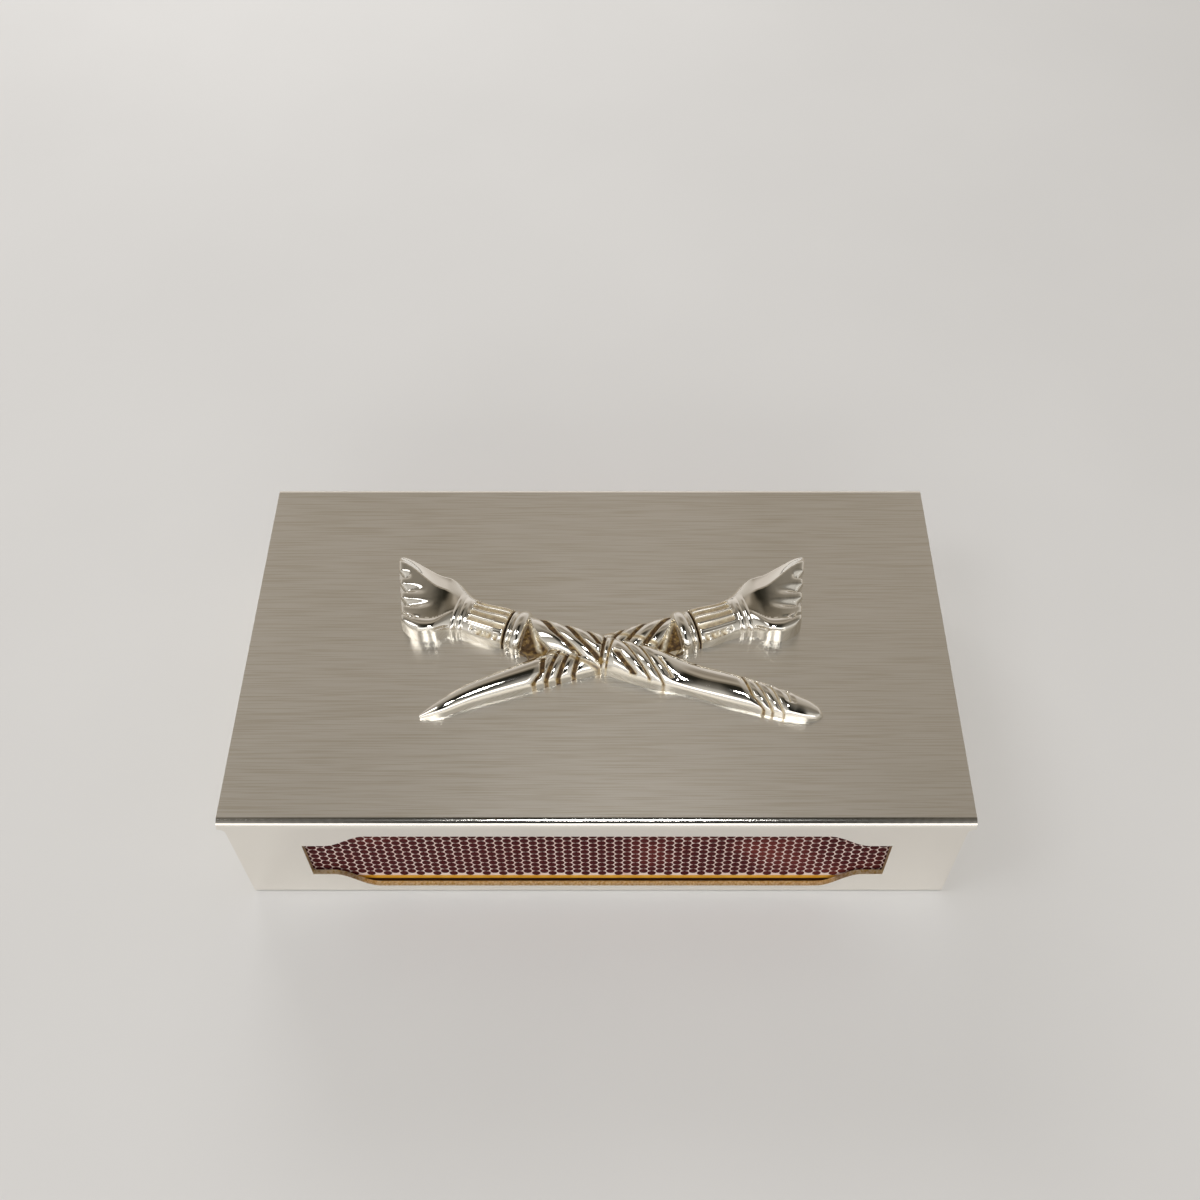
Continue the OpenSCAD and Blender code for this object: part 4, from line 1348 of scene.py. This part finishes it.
# %% The tray
TRAY_FOLD_R = 0.6
END_T = 2 * CARD_T
TRAY_EDGE_R = 0.1
tray_l, tray_w, tray_h = tray_high - tray_low
tray_top = tray_high[2]
tray_outline = shifted(rounded_outline(tray_w, 2 * tray_h, TRAY_FOLD_R, 6), tray_top)
tray = prism("folded_tray", tray_outline, -tray_l / 2, tray_l / 2, "x", card_tray)
above = rectangle(tray_l, tray_top, 3 * tray_top)
boolean(tray, prism("open top", above, -tray_w, tray_w, "y"), "DIFFERENCE")
well = rectangle(tray_l / 2 - END_T, tray_low[2] + CARD_T, 2 * tray_top)
boolean(tray, prism("well", well, -tray_w / 2 + CARD_T, tray_w / 2 - CARD_T, "y"), "DIFFERENCE")
clean_faces(tray)
rounded_edges(tray, TRAY_EDGE_R, 2)
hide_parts("match_tray")
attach(tray, "tray")
print("tray faces:", len(tray.data.polygons))

# %% [markdown]
# Match sticks are split aspen, pale and dry, whose grain shows as fine raised lines along the
# stick. The heads are dipped in composition, a glue with coloured powders that dries to a matte,
# slightly pitted crust.

# %% Match finishes


def split_wood():
    material, tree, shader, place = new_finish("split_aspen")
    # Grain of aspen is about 0.05 mm wide, and it is drawn 0.4 mm wide so that it shows
    along = add(tree, "ShaderNodeMapping", {"Vector": place,
                                            "Scale": (every(0.4), every(16.667), every(0.4))})
    fibre = add(tree, "ShaderNodeTexNoise", {"Vector": along.outputs[0], "Scale": 1.0,
                                             "Detail": 4.0})
    base = add(tree, "ShaderNodeValToRGB", {"Fac": fibre.outputs["Fac"]},
               [(0.3, "#d9b98a"), (0.7, "#efd9b0")])
    tree.links.new(base.outputs["Color"], shader.inputs["Base Color"])
    shader.inputs["Roughness"].default_value = 0.65
    raised = add(tree, "ShaderNodeBump", {"Height": fibre.outputs["Fac"], "Strength": 0.5,
                                          "Distance": 0.06 * MM})
    tree.links.new(raised.outputs[0], shader.inputs["Normal"])
    return material


def dipped_head():
    material, tree, shader, place = new_finish("dipped_match_composition")
    # Pits and grit of the crust, drawn about 0.5 mm across
    grit = add(tree, "ShaderNodeTexNoise", {"Vector": place, "Scale": every(0.4545), "Detail": 4.0})
    base = add(tree, "ShaderNodeValToRGB", {"Fac": grit.outputs["Fac"]},
               [(0.3, "#6a1f1a"), (0.7, "#92332a")])
    tree.links.new(base.outputs["Color"], shader.inputs["Base Color"])
    shader.inputs["Roughness"].default_value = 0.7
    rough = add(tree, "ShaderNodeBump", {"Height": grit.outputs["Fac"], "Strength": 0.7,
                                         "Distance": 0.1 * MM})
    tree.links.new(rough.outputs[0], shader.inputs["Normal"])
    return material


wood = split_wood()
composition = dipped_head()
print("finishes:", wood.name, composition.name)

# %% [markdown]
# A stick is split off a sheet of wood, so it is square but never quite straight: its section
# wanders by a few hundredths of a millimetre. A head is a drop that was dipped and hung to dry,
# widest a little below its tip. Each is a little lumpy in its own way.

# %% Sticks and heads
MATCHES = 27
MATCH_PITCH = 3.9
STICK_A = 2.2
STICK_ROWS = 9
WANDER = 0.035
MOST_WANDER = 0.07
# Room that the stick leaves for its wander inside the CAD solid
WANDER_ROOM = 0.08
HEAD_D = 3.6
HEAD_L = 5.2
HEAD_SIDES = 18
HEAD_LUMP = 0.05
# Shares of the head's radius and length, from the tip to the neck
HEAD_PROFILE = [(0.0, 0.0), (0.45, 0.03), (0.75, 0.1), (0.93, 0.24), (1.0, 0.42), (0.99, 0.7),
                (0.92, 0.92), (0.7, 1.0)]
stick_low, stick_high = node_box("match_sticks")
head_low, head_high = node_box("match_heads")
row_z = (head_low[2] + head_high[2]) / 2
rng = np.random.default_rng(7)


def stick_mesh(x, points, faces):
    wander = np.clip(rng.normal(0, WANDER, (STICK_ROWS, 2)), -MOST_WANDER, MOST_WANDER)
    half = STICK_A / 2 - WANDER_ROOM
    start = len(points)
    for i, (dx, dz) in enumerate(wander):
        y = stick_low[1] + (stick_high[1] - stick_low[1]) * i / (STICK_ROWS - 1)
        for cx, cz in rectangle(half, -half, half):
            points.append((x + cx + dx, y, row_z + cz + dz))
    for i in range(STICK_ROWS - 1):
        for k in range(4):
            a, b = start + 4 * i + k, start + 4 * i + (k + 1) % 4
            faces.append([a, b, b + 4, a + 4])
    end = start + 4 * (STICK_ROWS - 1)
    faces += [[start + 3, start + 2, start + 1, start], [end, end + 1, end + 2, end + 3]]


def head_mesh(x, points, faces):
    start = len(points)
    points.append((x, head_low[1], row_z))
    for share_r, share_l in HEAD_PROFILE[1:]:
        for a in range(HEAD_SIDES):
            angle = 2 * math.pi * a / HEAD_SIDES
            place = (x + 2 * math.cos(angle), 3 * share_l, 2 * math.sin(angle))
            radius = HEAD_D / 2 * share_r * (1 - HEAD_LUMP * abs(noise.noise(place)))
            points.append((x + radius * math.cos(angle), head_low[1] + HEAD_L * share_l,
                           row_z + radius * math.sin(angle)))
    for a in range(HEAD_SIDES):
        faces.append([start, start + 1 + a, start + 1 + (a + 1) % HEAD_SIDES])
    for ring in range(len(HEAD_PROFILE) - 2):
        p = start + 1 + ring * HEAD_SIDES
        for a in range(HEAD_SIDES):
            b = (a + 1) % HEAD_SIDES
            faces.append([p + a, p + HEAD_SIDES + a, p + HEAD_SIDES + b, p + b])
    last = start + 1 + (len(HEAD_PROFILE) - 2) * HEAD_SIDES
    faces.append([last + a for a in range(HEAD_SIDES)])


def row_of(build, name, material, node):
    points, faces = [], []
    for i in range(MATCHES):
        build((i - (MATCHES - 1) / 2) * MATCH_PITCH, points, faces)
    obj = new_piece(name, points, faces, material)
    face_outward(obj)
    smooth_faces(obj, 50)
    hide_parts(node)
    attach(obj, "tray")
    return obj


row_of(stick_mesh, "split_match_sticks", wood, "match_sticks")
heads = row_of(head_mesh, "dipped_match_heads", composition, "match_heads")
print("matches:", MATCHES, "heads have", len(heads.data.polygons), "faces")
